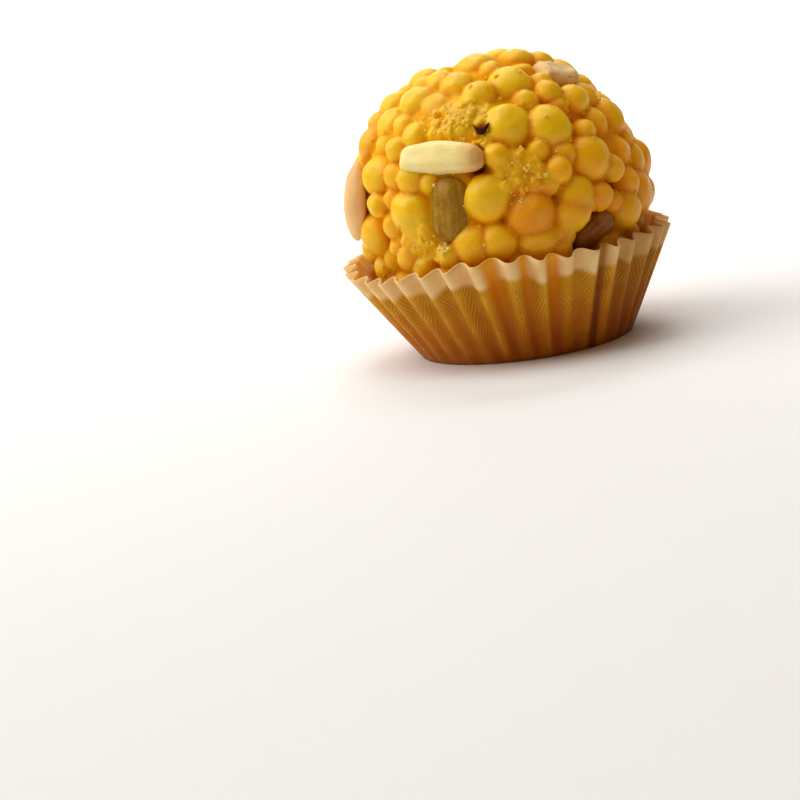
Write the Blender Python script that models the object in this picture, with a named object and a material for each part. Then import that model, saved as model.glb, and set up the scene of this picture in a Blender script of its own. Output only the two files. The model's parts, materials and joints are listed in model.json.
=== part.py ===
"""A boondi ladoo in its pleated paper case.

The sweet is a hand-rolled ball of fried gram-flour pearls, held together by syrup and by the crumbs
of broken pearls. Nuts and raisins sit in pockets between the pearls. The ball stands in a thin
fluted paper case, 0.3 mm clear of it. Metres, +Z up, and the case rests on z = 0.

Places on the ball are given in degrees: azimuth 0 faces the front (-Y) and 90 the right (+X),
and elevation 90 is the top.
"""

import math

import bmesh
import bpy
import numpy as np
from mathutils import Matrix, Vector

MM = 0.001

# --- The ball -------------------------------------------------------------------------------
BALL_RADIUS = 24.0 * MM  # from the middle to the tops of the pearls
BALL_MIDDLE = Vector((0.0, 0.0, 23.3 * MM))
CORE_RADIUS = 20.6 * MM  # the pressed mass that the pearls stand in
CLEARANCE = 0.3 * MM  # between separate pieces that rest on each other

# Hand rolling leaves the ball uneven: azimuth, elevation, share of the radius, width in degrees.
SWELLS = (
    (-90, 20, 0.048, 45),
    (92, 38, -0.080, 24),
    (92, -22, -0.045, 26),
    (-95, 77, -0.030, 13),
    (178, 74, -0.050, 18),
    (160, 30, 0.030, 35),
    (-150, -5, -0.025, 30),
)

# --- The pearls -----------------------------------------------------------------------------
SPIRAL_COUNT = 205  # loose pearls that would cover the whole ball
SPIRAL_CLEAR = 0.45  # share of a loose pearl's radius that must lie outside a held place at first
PEARL_RADIUS = 3.0 * MM
PEARL_RADIUS_SPREAD = 0.33 * MM
PEARL_RADIUS_RANGE = (2.3 * MM, 3.7 * MM)
MIDDLE_RADIUS = BALL_RADIUS - PEARL_RADIUS  # of the sphere that the pearls' middles lie on
MOST_STRETCH = 0.28  # a long pearl's extra length, as a share of its radius
MOST_SINK = 1.1 * MM  # how far some pearls lie below the rest
PACKING = 0.93  # distance between neighbours, as a share of touching
PACKING_ROUNDS = 90
PACKING_SEED = 11
HIDDEN_BELOW = 13.0 * MM  # pearls whose middle is lower than this stay out of sight in the case
FACETS_KEPT = 0.47  # share of the joined ball's faces that its shape needs

# The pearls of the front are laid by hand round the nuts: azimuth, elevation, radius in mm.
FRONT_PEARLS = (
    (45, 74, 2.6),
    (67, 67, 2.2),
    (-22, 75, 3.2),
    (-93, 62, 2.7),
    (-45, 61, 2.2),
    (-26, 58, 2.4),
    (-8, 51, 2.3),
    (-85, 47, 2.6),
    (-54, 50, 2.8),
    (-82, 30, 2.6),
    (-86, 38, 2.1),
    (-41, 34, 1.9),
    (-50, 28, 1.7),
    (13, 56, 3.3),
    (5, 35, 3.2),
    (24, 31, 3.4),
    (46, 41, 2.3),
    (32, 46, 1.8),
    (69, 30, 3.2),
    (90, 36, 2.4),
    (75, 49, 2.0),
    (39, 15, 3.3),
    (87, 8, 3.2),
    (47, 9, 1.8),
    (22, 13, 1.8),
    (28, 1, 3.0),
    (26, -4, 2.7),
    (38, 0, 2.0),
    (54, -9, 2.9),
    (85, -6, 2.8),
    (-8, 7, 3.2),
    (8, -2, 3.4),
    (-2, 22, 1.7),
    (-16, -11, 3.1),
    (-6, -11, 2.7),
    (10, -14, 3.0),
    (18, -18, 1.8),
    (-63, 18, 3.1),
    (-42, 4, 3.3),
    (-40, 17, 2.1),
    (-59, 7, 1.7),
    (-69, -5, 3.2),
    (-26, -14, 1.9),
    (-40, -19, 1.9),
    (-47, -15, 1.9),
    (-72, -21, 2.3),
    (-70, -26, 2.5),
    (-84, -13, 2.1),
)
FRONT_WINDOW = (-2, 27, 52)  # azimuth, elevation, half width in degrees: no loose pearl starts here

# --- What is set between the pearls ---------------------------------------------------------
# name: azimuth, elevation, spin of its length from the horizontal, (length, width, thickness)
# in mm, and how far its outer side stands out of the ball's surface (below it if negative), in mm.
INCLUSIONS = {
    "cashew_stick": (-25, 24, -3, (13.6, 4.8, 4.4), 0.3),
    "almond_half": (-76, 8, 84, (12.8, 7.2, 4.4), 1.2),
    "raisin_golden": (-24, 4, 84, (9.6, 6.2, 4.0), -0.8),
    "cashew_chunk": (53, 56, -30, (6.2, 4.6, 3.4), -0.5),
    "raisin_brown": (37, -14, 25, (8.2, 5.6, 3.8), -1.4),
    "raisin_back": (172, 24, 35, (10.4, 6.6, 4.2), -0.4),
    "cashew_back": (-143, 38, -30, (10.8, 5.0, 4.2), 0.4),
    "almond_back": (120, 6, 70, (9.6, 5.6, 3.8), 0.5),
}

# Crumbs pressed flat between the pearls: azimuth, elevation, radius in mm.
CRUMB_BEDS = (
    (-13, 41, 3.0),
    (-25, 38, 2.5),
    (-7, 28, 1.2),
    (6, 16, 3.2),
    (14, 11, 2.0),
    (-38, -9, 3.4),
    (19, -13, 2.1),
    (150, 52, 3.6),
    (-165, 6, 3.8),
    (100, 24, 2.6),
    (-120, 12, 3.2),
)
CRUMB_BED_HEIGHT = 2.6 * MM
CRUMB_BED_BELOW = 0.9 * MM  # the bed's top lies this far under the pearls' tops
CRUMB_BED_OPEN = 0.6  # share of a bed's radius that no pearl covers

# Small hard bits that lie on the surface: azimuth, elevation, (length, width, height) in mm.
SPECKS = (
    (-7, 33, (2.3, 1.5, 1.2)),  # husk of a clove
    (-27, -10, (2.6, 2.2, 1.6)),  # sugar crystal
    (-92, 25, (1.6, 1.3, 1.2)),  # sugar crystal
)

# --- The paper case -------------------------------------------------------------------------
PAPER = 0.3 * MM
CASE_BASE_RADIUS = 17.0 * MM
CASE_RIM_RADIUS = 25.2 * MM
CASE_HEIGHT = 16.3 * MM
CASE_LEAN = -1.3 * MM  # the rim has opened further on the left (-X)
FLUTES = 36
FLUTE_DEPTH = 0.95 * MM  # half the distance from a ridge to a fold, at the rim
FLUTE_STEPS = 4  # columns of points in one flute
WALL_ROWS = 2
SCALLOP = 0.40 * MM  # a ridge leans out, so its top is lower than a fold's by twice this

# The rim isn't level: azimuth, extra height, width in degrees.
RIM_WAVES = (
    (-58, -1.3 * MM, 24),
    (-8, 0.6 * MM, 16),
    (110, 0.5 * MM, 30),
    (-160, -0.6 * MM, 30),
)


def heading(azimuth, elevation):
    """The unit vector that points from the ball's middle towards a place on it."""
    a, e = math.radians(azimuth), math.radians(elevation)
    return Vector((math.sin(a) * math.cos(e), -math.cos(a) * math.cos(e), math.sin(e)))


def surface_radius(way):
    """How far the pearls' tops are from the ball's middle in that direction."""
    share = 1.0
    for azimuth, elevation, size, width in SWELLS:
        angle = math.degrees(way.angle(heading(azimuth, elevation)))
        share += size * math.exp(-((angle / width) ** 2))
    return BALL_RADIUS * share


def facing(way, spin):
    """A rotation whose Z points along way and whose X is horizontal, then turned by spin."""
    across = Vector((0, 0, 1)).cross(way).normalized()
    up = way.cross(across)
    return Matrix((across, up, way)).transposed().to_4x4() @ Matrix.Rotation(spin, 4, "Z")


def placed(way, out, spin, half_sizes):
    """The matrix that puts a unit shape on the ball, its middle out from the ball's middle."""
    return (
        Matrix.Translation(BALL_MIDDLE + way * out)
        @ facing(way, spin)
        @ Matrix.Diagonal((*half_sizes, 1.0))
    )


def material(name, colour, roughness):
    made = bpy.data.materials.new(name)
    made.use_nodes = True
    shader = made.node_tree.nodes["Principled BSDF"]
    shader.inputs["Base Color"].default_value = (*colour, 1.0)
    shader.inputs["Roughness"].default_value = roughness
    return made


def object_from(bm, name, finish, collection=None):
    """One named object made from a bmesh, which is freed."""
    mesh = bpy.data.meshes.new(name)
    bmesh.ops.recalc_face_normals(bm, faces=bm.faces)
    bm.to_mesh(mesh)
    bm.free()
    mesh.materials.append(finish)
    made = bpy.data.objects.new(name, mesh)
    (collection or bpy.context.scene.collection).objects.link(made)
    return made


# --- Packing the pearls ---------------------------------------------------------------------
def keep_out_discs():
    """Round places that the pearls leave free, on crumbs and along each nut: headings and radii."""
    ways = [heading(azimuth, elevation) for azimuth, elevation, _ in CRUMB_BEDS]
    radii = [radius * MM * CRUMB_BED_OPEN for _, _, radius in CRUMB_BEDS]
    for azimuth, elevation, spin, (length, width, _), _ in INCLUSIONS.values():
        way = heading(azimuth, elevation)
        along = facing(way, math.radians(spin)).to_3x3() @ Vector((1, 0, 0))
        reach = (length - width) / 2 * MM
        count = max(2, round(length / width) + 1)
        for step in range(count):
            shift = reach * (2 * step / (count - 1) - 1)
            ways.append((way * BALL_RADIUS + along * shift).normalized())
            radii.append(width / 2 * MM * 0.8)
    return ways, radii


def loose_pearls(held_ways, held_radii, rng):
    """Headings and radii of the pearls that fill the ball where nothing is held."""
    step = np.arange(SPIRAL_COUNT) + 0.5
    height = 1 - 2 * step / SPIRAL_COUNT
    turn = step * math.pi * (3 - math.sqrt(5))
    level = np.sqrt(1 - height**2)
    spiral = np.stack([level * np.cos(turn), level * np.sin(turn), height], axis=1)
    radii = rng.normal(PEARL_RADIUS, PEARL_RADIUS_SPREAD, SPIRAL_COUNT).clip(*PEARL_RADIUS_RANGE)

    apart = np.linalg.norm(spiral[:, None, :] - held_ways[None, :, :], axis=2) * MIDDLE_RADIUS
    taken = (apart < held_radii[None, :] + SPIRAL_CLEAR * radii[:, None]).any(axis=1)
    azimuth, elevation, half_width = FRONT_WINDOW
    window = spiral @ np.array(heading(azimuth, elevation)) > math.cos(math.radians(half_width))
    free = ~(taken | window)
    return spiral[free], radii[free]


def packed_pearls():
    """Heading, radius, stretch, spin and sink of every pearl, pushed apart until they pack."""
    rng = np.random.default_rng(PACKING_SEED)
    held_ways, held_radii = keep_out_discs()
    discs = len(held_ways)
    for azimuth, elevation, radius in FRONT_PEARLS:
        held_ways.append(heading(azimuth, elevation))
        held_radii.append(radius * MM)
    held = len(held_ways)
    loose_ways, loose_radii = loose_pearls(np.array(held_ways), np.array(held_radii), rng)
    ways = np.concatenate([np.array(held_ways), loose_ways])
    radii = np.concatenate([np.array(held_radii), loose_radii])

    wanted = (radii[:, None] + radii[None, :]) * PACKING / MIDDLE_RADIUS
    for _ in range(PACKING_ROUNDS):
        gaps = ways[:, None, :] - ways[None, :, :]
        distances = np.linalg.norm(gaps, axis=2) + np.eye(len(ways))
        overlap = np.clip(wanted - distances, 0, None) * (1 - np.eye(len(ways)))
        push = (gaps / distances[:, :, None] * overlap[:, :, None]).sum(axis=1) * 0.35
        push[:held] = 0
        ways = ways + push
        ways /= np.linalg.norm(ways, axis=1)[:, None]

    pearls = [(Vector(way), radius, 0.0, 0.0, 0.0) for way, radius in zip(
        ways[discs:held], radii[discs:held]
    )]
    for way, radius in zip(ways[held:], radii[held:]):
        stretch = MOST_STRETCH * max(0.0, rng.uniform(-0.6, 1.0))
        spin = rng.uniform(0, math.pi)
        sink = MOST_SINK * rng.uniform(0, 1) ** 2
        pearls.append((Vector(way), radius, stretch, spin, sink))
    return pearls


# --- The ball -------------------------------------------------------------------------------
def add_ball_piece(name, matrix, subdivisions, finish, collection):
    bm = bmesh.new()
    bmesh.ops.create_icosphere(bm, subdivisions=subdivisions, radius=1.0, matrix=matrix)
    return object_from(bm, name, finish, collection)


def add_pearls(collection, finish):
    for number, (way, radius, stretch, spin, sink) in enumerate(packed_pearls()):
        half_sizes = (radius * (1 + stretch), radius * (1 - stretch / 3), radius)
        out = surface_radius(way) - radius - sink
        matrix = placed(way, out, spin, half_sizes)
        hidden = matrix.translation.z < HIDDEN_BELOW
        add_ball_piece(f"pearl_{number}", matrix, 1 if hidden else 2, finish, collection)


def add_crumbs(collection, finish):
    for number, (azimuth, elevation, radius) in enumerate(CRUMB_BEDS):
        way = heading(azimuth, elevation)
        half_sizes = (radius * MM, radius * MM * 0.85, CRUMB_BED_HEIGHT)
        out = surface_radius(way) - CRUMB_BED_BELOW - CRUMB_BED_HEIGHT
        matrix = placed(way, out, math.radians(40 * number), half_sizes)
        add_ball_piece(f"crumb_bed_{number}", matrix, 2, finish, collection)
    for number, (azimuth, elevation, sizes) in enumerate(SPECKS):
        way = heading(azimuth, elevation)
        half_sizes = [size / 2 * MM for size in sizes]
        out = surface_radius(way) - 1.2 * MM
        matrix = placed(way, out, 0.0, half_sizes)
        add_ball_piece(f"speck_{number}", matrix, 1, finish, collection)


def apply_modifiers(target):
    bpy.context.view_layer.update()
    evaluated = target.evaluated_get(bpy.context.evaluated_depsgraph_get())
    mesh = bpy.data.meshes.new_from_object(evaluated)
    target.modifiers.clear()
    target.data = mesh


def apply_boolean(target, collection, operation):
    """Joins or cuts by all the objects of a collection, which are then removed."""
    modifier = target.modifiers.new(operation.title(), "BOOLEAN")
    modifier.operation = operation
    modifier.operand_type = "COLLECTION"
    modifier.collection = collection
    modifier.solver = "MANIFOLD"
    apply_modifiers(target)
    for used in list(collection.objects):
        bpy.data.objects.remove(used)
    bpy.data.collections.remove(collection)


def keep_largest_body(target):
    """Drops the loose scraps that a cut may leave."""
    bm = bmesh.new()
    bm.from_mesh(target.data)
    unseen = set(bm.verts)
    bodies = []
    while unseen:
        body, edge_of_search = set(), [unseen.pop()]
        while edge_of_search:
            vertex = edge_of_search.pop()
            body.add(vertex)
            for edge in vertex.link_edges:
                other = edge.other_vert(vertex)
                if other in unseen:
                    unseen.discard(other)
                    edge_of_search.append(other)
        bodies.append(body)
    bodies.sort(key=len)
    for scrap in bodies[:-1]:
        bmesh.ops.delete(bm, geom=list(scrap), context="VERTS")
    bm.to_mesh(target.data)
    bm.free()


def new_collection(name):
    made = bpy.data.collections.new(name)
    bpy.context.scene.collection.children.link(made)
    return made


def build_ball(inclusions):
    finish = material("boondi", (0.80, 0.42, 0.03), 0.45)
    bm = bmesh.new()
    bmesh.ops.create_icosphere(bm, subdivisions=3, radius=1.0)
    for vertex in bm.verts:
        way = vertex.co.normalized()
        depth = BALL_RADIUS - CORE_RADIUS
        vertex.co = BALL_MIDDLE + way * (surface_radius(way) - depth)
    ball = object_from(bm, "boondi_ball", finish)

    joined = new_collection("joined to the ball")
    add_pearls(joined, finish)
    add_crumbs(joined, finish)
    apply_boolean(ball, joined, "UNION")
    thinning = ball.modifiers.new("Fewer facets", "DECIMATE")
    thinning.ratio = FACETS_KEPT
    apply_modifiers(ball)

    cut = new_collection("cut from the ball")
    for inclusion in inclusions:
        pocket = inclusion.copy()
        pocket.data = inclusion.data.copy()
        for vertex in pocket.data.vertices:
            vertex.co += vertex.normal * CLEARANCE * 1.3
        cut.objects.link(pocket)
    bm = bmesh.new()
    bmesh.ops.create_cube(bm, size=2 * BALL_RADIUS)
    lowest = PAPER + CLEARANCE
    bmesh.ops.translate(bm, verts=bm.verts, vec=(0, 0, lowest - BALL_RADIUS))
    object_from(bm, "floor_cutter", finish, cut)
    apply_boolean(ball, cut, "DIFFERENCE")
    keep_largest_body(ball)
    return ball


# --- Nuts and raisins -----------------------------------------------------------------------
def rounded_bar(length, width, thickness, taper, bow):
    """A bar of eight sides with rounded ends, narrower at one end and bowed along its length."""
    sides, rings = 8, 7
    smallest = 0.5  # share of the width that is left at the very ends
    bm = bmesh.new()
    loops = []
    for ring in range(rings):
        along = -math.cos(math.pi * ring / (rings - 1))  # -1 at one end, 1 at the other
        round_off = max(smallest, (1 - along**8) ** 0.5)
        size = round_off * (1 - taper * ((along + 1) / 2) ** 2)
        rise = bow * (1 - along * along) * thickness
        loop = []
        for side in range(sides):
            turn = 2 * math.pi * (side + 0.5) / sides
            squarer = 1.12  # sets the eight corners a little nearer a rectangle's
            y = width / 2 * size * squarer * math.cos(turn)
            z = thickness / 2 * size * squarer * math.sin(turn)
            loop.append(bm.verts.new((along * length / 2, y, z + rise)))
        loops.append(loop)
    for first, second in zip(loops, loops[1:]):
        for side in range(sides):
            after = (side + 1) % sides
            bm.faces.new((first[side], first[after], second[after], second[side]))
    bm.faces.new(reversed(loops[0]))
    bm.faces.new(loops[-1])
    return bm


def almond(length, width, thickness):
    """Half a skinned almond: a flat-sided oval that comes to a point at one end."""
    bm = bmesh.new()
    bmesh.ops.create_uvsphere(bm, u_segments=12, v_segments=8, radius=1.0)
    bmesh.ops.rotate(bm, verts=bm.verts, matrix=Matrix.Rotation(math.pi / 2, 3, "Y"))
    for vertex in bm.verts:
        x, y, z = vertex.co
        slim = 1 - 0.28 * max(0.0, x) ** 2  # towards the point
        flat = 0.55 if z < 0 else 1.0  # the side where the two halves parted
        vertex.co = (x * length / 2, y * slim * width / 2, z * slim * flat * thickness / 2)
    return bm


def raisin(length, width, thickness, creases, blunt):
    """A plump oval with creases that run along it. A higher blunt gives fuller ends, 2 an oval."""
    bm = bmesh.new()
    bmesh.ops.create_uvsphere(bm, u_segments=14, v_segments=8, radius=1.0)
    bmesh.ops.rotate(bm, verts=bm.verts, matrix=Matrix.Rotation(math.pi / 2, 3, "Y"))
    for vertex in bm.verts:
        x, y, z = vertex.co
        around = math.atan2(z, y)
        pinch = 1 - 0.10 * (1 - x * x) * (1 + math.cos(creases * around + 2.5 * x))
        if abs(x) < 0.999:
            pinch *= ((1 - abs(x) ** blunt) / (1 - x * x)) ** 0.5
        vertex.co = (x * length / 2, y * pinch * width / 2, z * pinch * thickness / 2)
    return bm


def chunk(length, width, thickness):
    """A broken corner of a cashew: a block with its edges cut back."""
    bm = bmesh.new()
    bmesh.ops.create_cube(bm, size=1.0)
    for vertex in bm.verts:
        x, y, z = vertex.co
        lean = 0.14 * z + 0.10 * x * y
        vertex.co = ((x + lean) * length, (y - 0.5 * lean) * width, z * thickness)
    bmesh.ops.bevel(
        bm, geom=bm.edges, offset=0.22 * thickness, segments=2, profile=0.6, affect="EDGES"
    )
    return bm


SHAPES = {
    "cashew_stick": lambda l, w, t: rounded_bar(l, w, t, taper=0.36, bow=0.08),
    "almond_half": almond,
    "raisin_golden": lambda l, w, t: raisin(l, w, t, creases=5, blunt=4.0),
    "cashew_chunk": chunk,
    "raisin_brown": lambda l, w, t: raisin(l, w, t, creases=4, blunt=2.6),
    "raisin_back": lambda l, w, t: raisin(l, w, t, creases=5, blunt=2.6),
    "cashew_back": lambda l, w, t: rounded_bar(l, w, t, taper=0.42, bow=0.16),
    "almond_back": almond,
}


def build_inclusions():
    cashew = material("cashew", (0.86, 0.72, 0.40), 0.50)
    almond_white = material("blanched_almond", (0.80, 0.58, 0.32), 0.45)
    golden = material("golden_raisin", (0.30, 0.20, 0.04), 0.30)
    brown = material("brown_raisin", (0.16, 0.07, 0.02), 0.30)
    finishes = {
        "cashew_stick": cashew,
        "almond_half": almond_white,
        "raisin_golden": golden,
        "cashew_chunk": cashew,
        "raisin_brown": brown,
        "raisin_back": brown,
        "cashew_back": cashew,
        "almond_back": almond_white,
    }
    made = []
    for name, (azimuth, elevation, spin, sizes, proud) in INCLUSIONS.items():
        length, width, thickness = (size * MM for size in sizes)
        bm = SHAPES[name](length, width, thickness)
        way = heading(azimuth, elevation)
        out = surface_radius(way) + proud * MM - thickness / 2
        matrix = placed(way, out, math.radians(spin), (1, 1, 1))
        bmesh.ops.transform(bm, matrix=matrix, verts=bm.verts)
        made.append(object_from(bm, name, finishes[name]))
    return made


# --- The paper case -------------------------------------------------------------------------
def rim_height(turn):
    """How high the rim stands at that azimuth, before its scallops."""
    height = CASE_HEIGHT
    for azimuth, extra, width in RIM_WAVES:
        apart = (math.degrees(turn) - azimuth + 180) % 360 - 180
        height += extra * math.exp(-((apart / width) ** 2))
    return height


def build_case():
    """A sheet of a flat disc and a fluted wall, thickened inwards."""
    finish = material("greaseproof_paper", (0.72, 0.58, 0.36), 0.70)
    columns = FLUTES * FLUTE_STEPS
    bm = bmesh.new()
    loops = []
    for row in range(WALL_ROWS + 1):
        rise = row / WALL_ROWS
        radius = CASE_BASE_RADIUS + (CASE_RIM_RADIUS - CASE_BASE_RADIUS) * rise
        depth = FLUTE_DEPTH * rise**0.8
        loop = []
        for column in range(columns):
            phase = 2 * math.pi * column / FLUTE_STEPS
            turn = phase / FLUTES
            uneven = 0.020 * math.sin(5 * turn) + 0.014 * math.sin(11 * turn + 1)
            deeper = 1 + 0.22 * math.sin(4 * turn + 2)
            wave = math.cos(phase)
            reach = radius + depth * deeper * wave
            angle = turn + uneven * rise
            height = (rim_height(turn) - SCALLOP * wave) * rise
            x = reach * math.sin(angle) + CASE_LEAN * rise
            loop.append(bm.verts.new((x, -reach * math.cos(angle), height)))
        loops.append(loop)
    for lower, upper in zip(loops, loops[1:]):
        for column in range(columns):
            after = (column + 1) % columns
            bm.faces.new((lower[column], lower[after], upper[after], upper[column]))
    bm.faces.new(reversed(loops[0]))
    case = object_from(bm, "paper_case", finish)
    thickness = case.modifiers.new("Paper", "SOLIDIFY")
    thickness.thickness = PAPER
    thickness.offset = -1
    return case


def main():
    for old in list(bpy.data.objects):
        bpy.data.objects.remove(old)
    build_case()
    build_ball(build_inclusions())


main()
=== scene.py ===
# %% [markdown]
# # A boondi ladoo in its paper case
# A ladoo is a ball of small fried gram-flour pearls, pressed together by hand with syrup, nuts and
# raisins. This lesson dresses a plain solid model of one. The solids say where each piece is and how
# large it is, and every cell below replaces one of them with the finished thing.

import json
import math

import bmesh
import bpy
import numpy as np
from mathutils import Matrix, Vector, noise

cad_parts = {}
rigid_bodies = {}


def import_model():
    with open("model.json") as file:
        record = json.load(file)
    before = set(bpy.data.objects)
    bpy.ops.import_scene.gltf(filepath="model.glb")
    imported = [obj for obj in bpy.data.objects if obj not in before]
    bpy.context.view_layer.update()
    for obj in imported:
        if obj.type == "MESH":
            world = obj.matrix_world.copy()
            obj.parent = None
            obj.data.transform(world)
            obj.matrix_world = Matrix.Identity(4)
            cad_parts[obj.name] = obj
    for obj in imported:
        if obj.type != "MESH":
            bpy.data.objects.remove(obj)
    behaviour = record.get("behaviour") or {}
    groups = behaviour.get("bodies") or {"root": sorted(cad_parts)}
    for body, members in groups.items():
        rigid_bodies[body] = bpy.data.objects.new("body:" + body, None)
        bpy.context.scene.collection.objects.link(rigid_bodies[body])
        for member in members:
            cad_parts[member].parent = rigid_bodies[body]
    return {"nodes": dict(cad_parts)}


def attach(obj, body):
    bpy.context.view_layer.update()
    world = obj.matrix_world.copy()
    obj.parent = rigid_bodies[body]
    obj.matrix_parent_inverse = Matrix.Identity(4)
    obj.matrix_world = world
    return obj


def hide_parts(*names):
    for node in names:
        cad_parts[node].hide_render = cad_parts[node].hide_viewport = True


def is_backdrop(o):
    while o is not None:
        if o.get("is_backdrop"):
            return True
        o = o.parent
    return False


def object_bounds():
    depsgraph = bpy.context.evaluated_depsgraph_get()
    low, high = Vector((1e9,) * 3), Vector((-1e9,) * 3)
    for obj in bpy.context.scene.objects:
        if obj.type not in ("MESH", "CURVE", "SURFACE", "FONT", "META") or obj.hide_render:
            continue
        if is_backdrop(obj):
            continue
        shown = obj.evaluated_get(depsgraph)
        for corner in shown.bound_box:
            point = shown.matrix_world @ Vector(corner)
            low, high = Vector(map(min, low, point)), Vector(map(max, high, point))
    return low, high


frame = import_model()
SOLID_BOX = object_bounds()
bpy.ops.object.select_all(action="DESELECT")
MM = 0.001
print("solids:", sorted(frame["nodes"]))
print("their box in mm:", [[round(value / MM, 1) for value in corner] for corner in SOLID_BOX])

# %% [markdown]
# ## The camera
# The ball sits right of the middle and high in the picture, and leans to the left. A camera can be
# turned by hand until that looks right, but two pairs of directions settle it exactly. One pair is
# where the ball is in the picture and where it is in the world. The other is which way is up in each.

# %% Place the camera
LENS = 85.0  # millimetres, a usual lens for food
SENSOR = 36.0
PICTURE = 800  # pixels, both ways
BALL_IN_PICTURE = (507.0, 196.0)  # pixels from the left and from the top
BALL_MIDDLE = Vector((0.0, 0.0, 23.3 * MM))
DISTANCE = 301.0 * MM
LOOKING_DOWN = math.radians(6.5)
LEAN = math.radians(8.0)  # how far the ball's top leans to the picture's left


def axes_of(ahead, up):
    """Three axes at right angles: ahead, the part of up that is square to it, and their cross."""
    square = (up - ahead * up.dot(ahead)).normalized()
    return Matrix((ahead, square, ahead.cross(square))).transposed()


focal = PICTURE * LENS / SENSOR
across, down = BALL_IN_PICTURE
ray = Vector((across - PICTURE / 2, PICTURE / 2 - down, -focal)).normalized()
ahead = Vector((0.0, math.cos(LOOKING_DOWN), -math.sin(LOOKING_DOWN)))
in_picture = axes_of(ray, Vector((-math.sin(LEAN), math.cos(LEAN), 0.0)))
in_world = axes_of(ahead, Vector((0.0, 0.0, 1.0)))
turned = (in_world @ in_picture.transposed()).to_4x4()

bpy.ops.object.camera_add()
camera = bpy.context.active_object
camera.name = "camera"
camera.data.lens, camera.data.sensor_width = LENS, SENSOR
camera.matrix_world = Matrix.Translation(BALL_MIDDLE - ahead * DISTANCE) @ turned
bpy.context.scene.camera = camera
print("camera at", [round(value, 4) for value in camera.matrix_world.translation])

# %% [markdown]
# ## Floor and light
# The floor is a studio sweep: a sheet that curves up behind the sweet, so that no edge shows. A plane
# whose back edge is extruded upwards does it, and a wide bevel makes the curve. One very large soft
# lamp, high on the left and a little behind, gives each pearl a broad satin patch and lets the right
# side fall into shade. A second one lights the board behind, so that it stays almost white.


# %% Helpers to pick one object and to mix colours
def only(piece):
    """Selects one object and nothing else, because an operator acts on all that is selected."""
    bpy.ops.object.select_all(action="DESELECT")
    piece.select_set(True)
    bpy.context.view_layer.objects.active = piece
    return piece


def apply_modifiers(piece):
    only(piece)
    for modifier in list(piece.modifiers):
        bpy.ops.object.modifier_apply(modifier=modifier.name)


def colour(red, green, blue):
    """A screen colour of 0 to 255 as the linear value that a shader needs."""
    shares = [value / 255 for value in (red, green, blue)]
    return (*(c / 12.92 if c <= 0.04045 else ((c + 0.055) / 1.055) ** 2.4 for c in shares), 1.0)


def new_material(name):
    """A material, its node tree and its shader."""
    made = bpy.data.materials.new(name)
    made.use_nodes = True
    return made, made.node_tree, made.node_tree.nodes["Principled BSDF"]


# %% Build the sweep
FLOOR_WIDTH = 9.0
FLOOR_BACK = 0.9
FLOOR_FRONT = -2.2
SWEEP_HEIGHT = 2.0
SWEEP_CURVE = 0.5

bpy.ops.mesh.primitive_plane_add(size=1)
floor = bpy.context.active_object
floor.name = "floor"
floor.scale = (FLOOR_WIDTH, FLOOR_BACK - FLOOR_FRONT, 1)
floor.location = (0, (FLOOR_BACK + FLOOR_FRONT) / 2, 0)
bpy.ops.object.transform_apply(location=True, rotation=True, scale=True)
bpy.ops.object.mode_set(mode="EDIT")
bpy.ops.mesh.select_mode(type="EDGE")
bpy.ops.mesh.select_all(action="DESELECT")
bm = bmesh.from_edit_mesh(floor.data)
for edge in bm.edges:
    edge.select_set(all(vertex.co.y > FLOOR_BACK - 0.01 for vertex in edge.verts))
bmesh.update_edit_mesh(floor.data)
bpy.ops.mesh.extrude_region_move(TRANSFORM_OT_translate={"value": (0, 0, SWEEP_HEIGHT)})
bpy.ops.mesh.select_all(action="DESELECT")
bm = bmesh.from_edit_mesh(floor.data)
for edge in bm.edges:
    edge.select_set(all(v.co.y > FLOOR_BACK - 0.01 and v.co.z < 0.01 for v in edge.verts))
bmesh.update_edit_mesh(floor.data)
bpy.ops.mesh.bevel(offset=SWEEP_CURVE, segments=24, affect="EDGES")
bpy.ops.object.mode_set(mode="OBJECT")
bpy.ops.object.shade_smooth()
floor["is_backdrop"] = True

made, tree, shader = new_material("pale_board")
shader.inputs["Base Color"].default_value = colour(232, 233, 235)
shader.inputs["Roughness"].default_value = 0.8
floor.data.materials.append(made)
print("sweep:", len(floor.data.polygons), "faces")


# %% Hang the lamps
def soft_lamp(name, place, aim, size, power, tint, spread=180):
    """A square lamp that faces a point. A spread below 180 degrees makes its beam narrower."""
    bpy.ops.object.light_add(type="AREA", location=place)
    lamp = bpy.context.active_object
    lamp.name = name
    lamp.data.size, lamp.data.energy, lamp.data.color = size, power, tint
    lamp.data.spread = math.radians(spread)
    lamp.rotation_euler = (Vector(aim) - Vector(place)).to_track_quat("-Z", "Y").to_euler()


soft_lamp("key_lamp", (-0.62, 0.02, 0.66), BALL_MIDDLE, 0.85, 7.4, (1.0, 0.98, 0.95))
soft_lamp("top_lamp", (0.0, -0.05, 1.3), BALL_MIDDLE, 0.8, 5.2, (1.0, 0.99, 0.98))
soft_lamp("board_lamp", (0.0, 0.72, 0.9), (0.0, 0.72, 0.0), 0.5, 4.0, (1.0, 1.0, 1.0), 90)

world = bpy.data.worlds.new("studio")
world.use_nodes = True
world.node_tree.nodes["Background"].inputs["Color"].default_value = (1.0, 0.74, 0.42, 1.0)
world.node_tree.nodes["Background"].inputs["Strength"].default_value = 0.19
bpy.context.scene.world = world
bpy.context.scene.view_settings.view_transform = "Standard"

# %% [markdown]
# ## Where things are on the ball
# A place on the ball is an azimuth, with 0 at the front and 90 on the right, and an elevation, with 90
# at the top. Hand rolling leaves the ball uneven, so its radius is a round one with a few wide swells
# and hollows added. The same rule placed the solids, so the finished pieces land on them.

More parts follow.
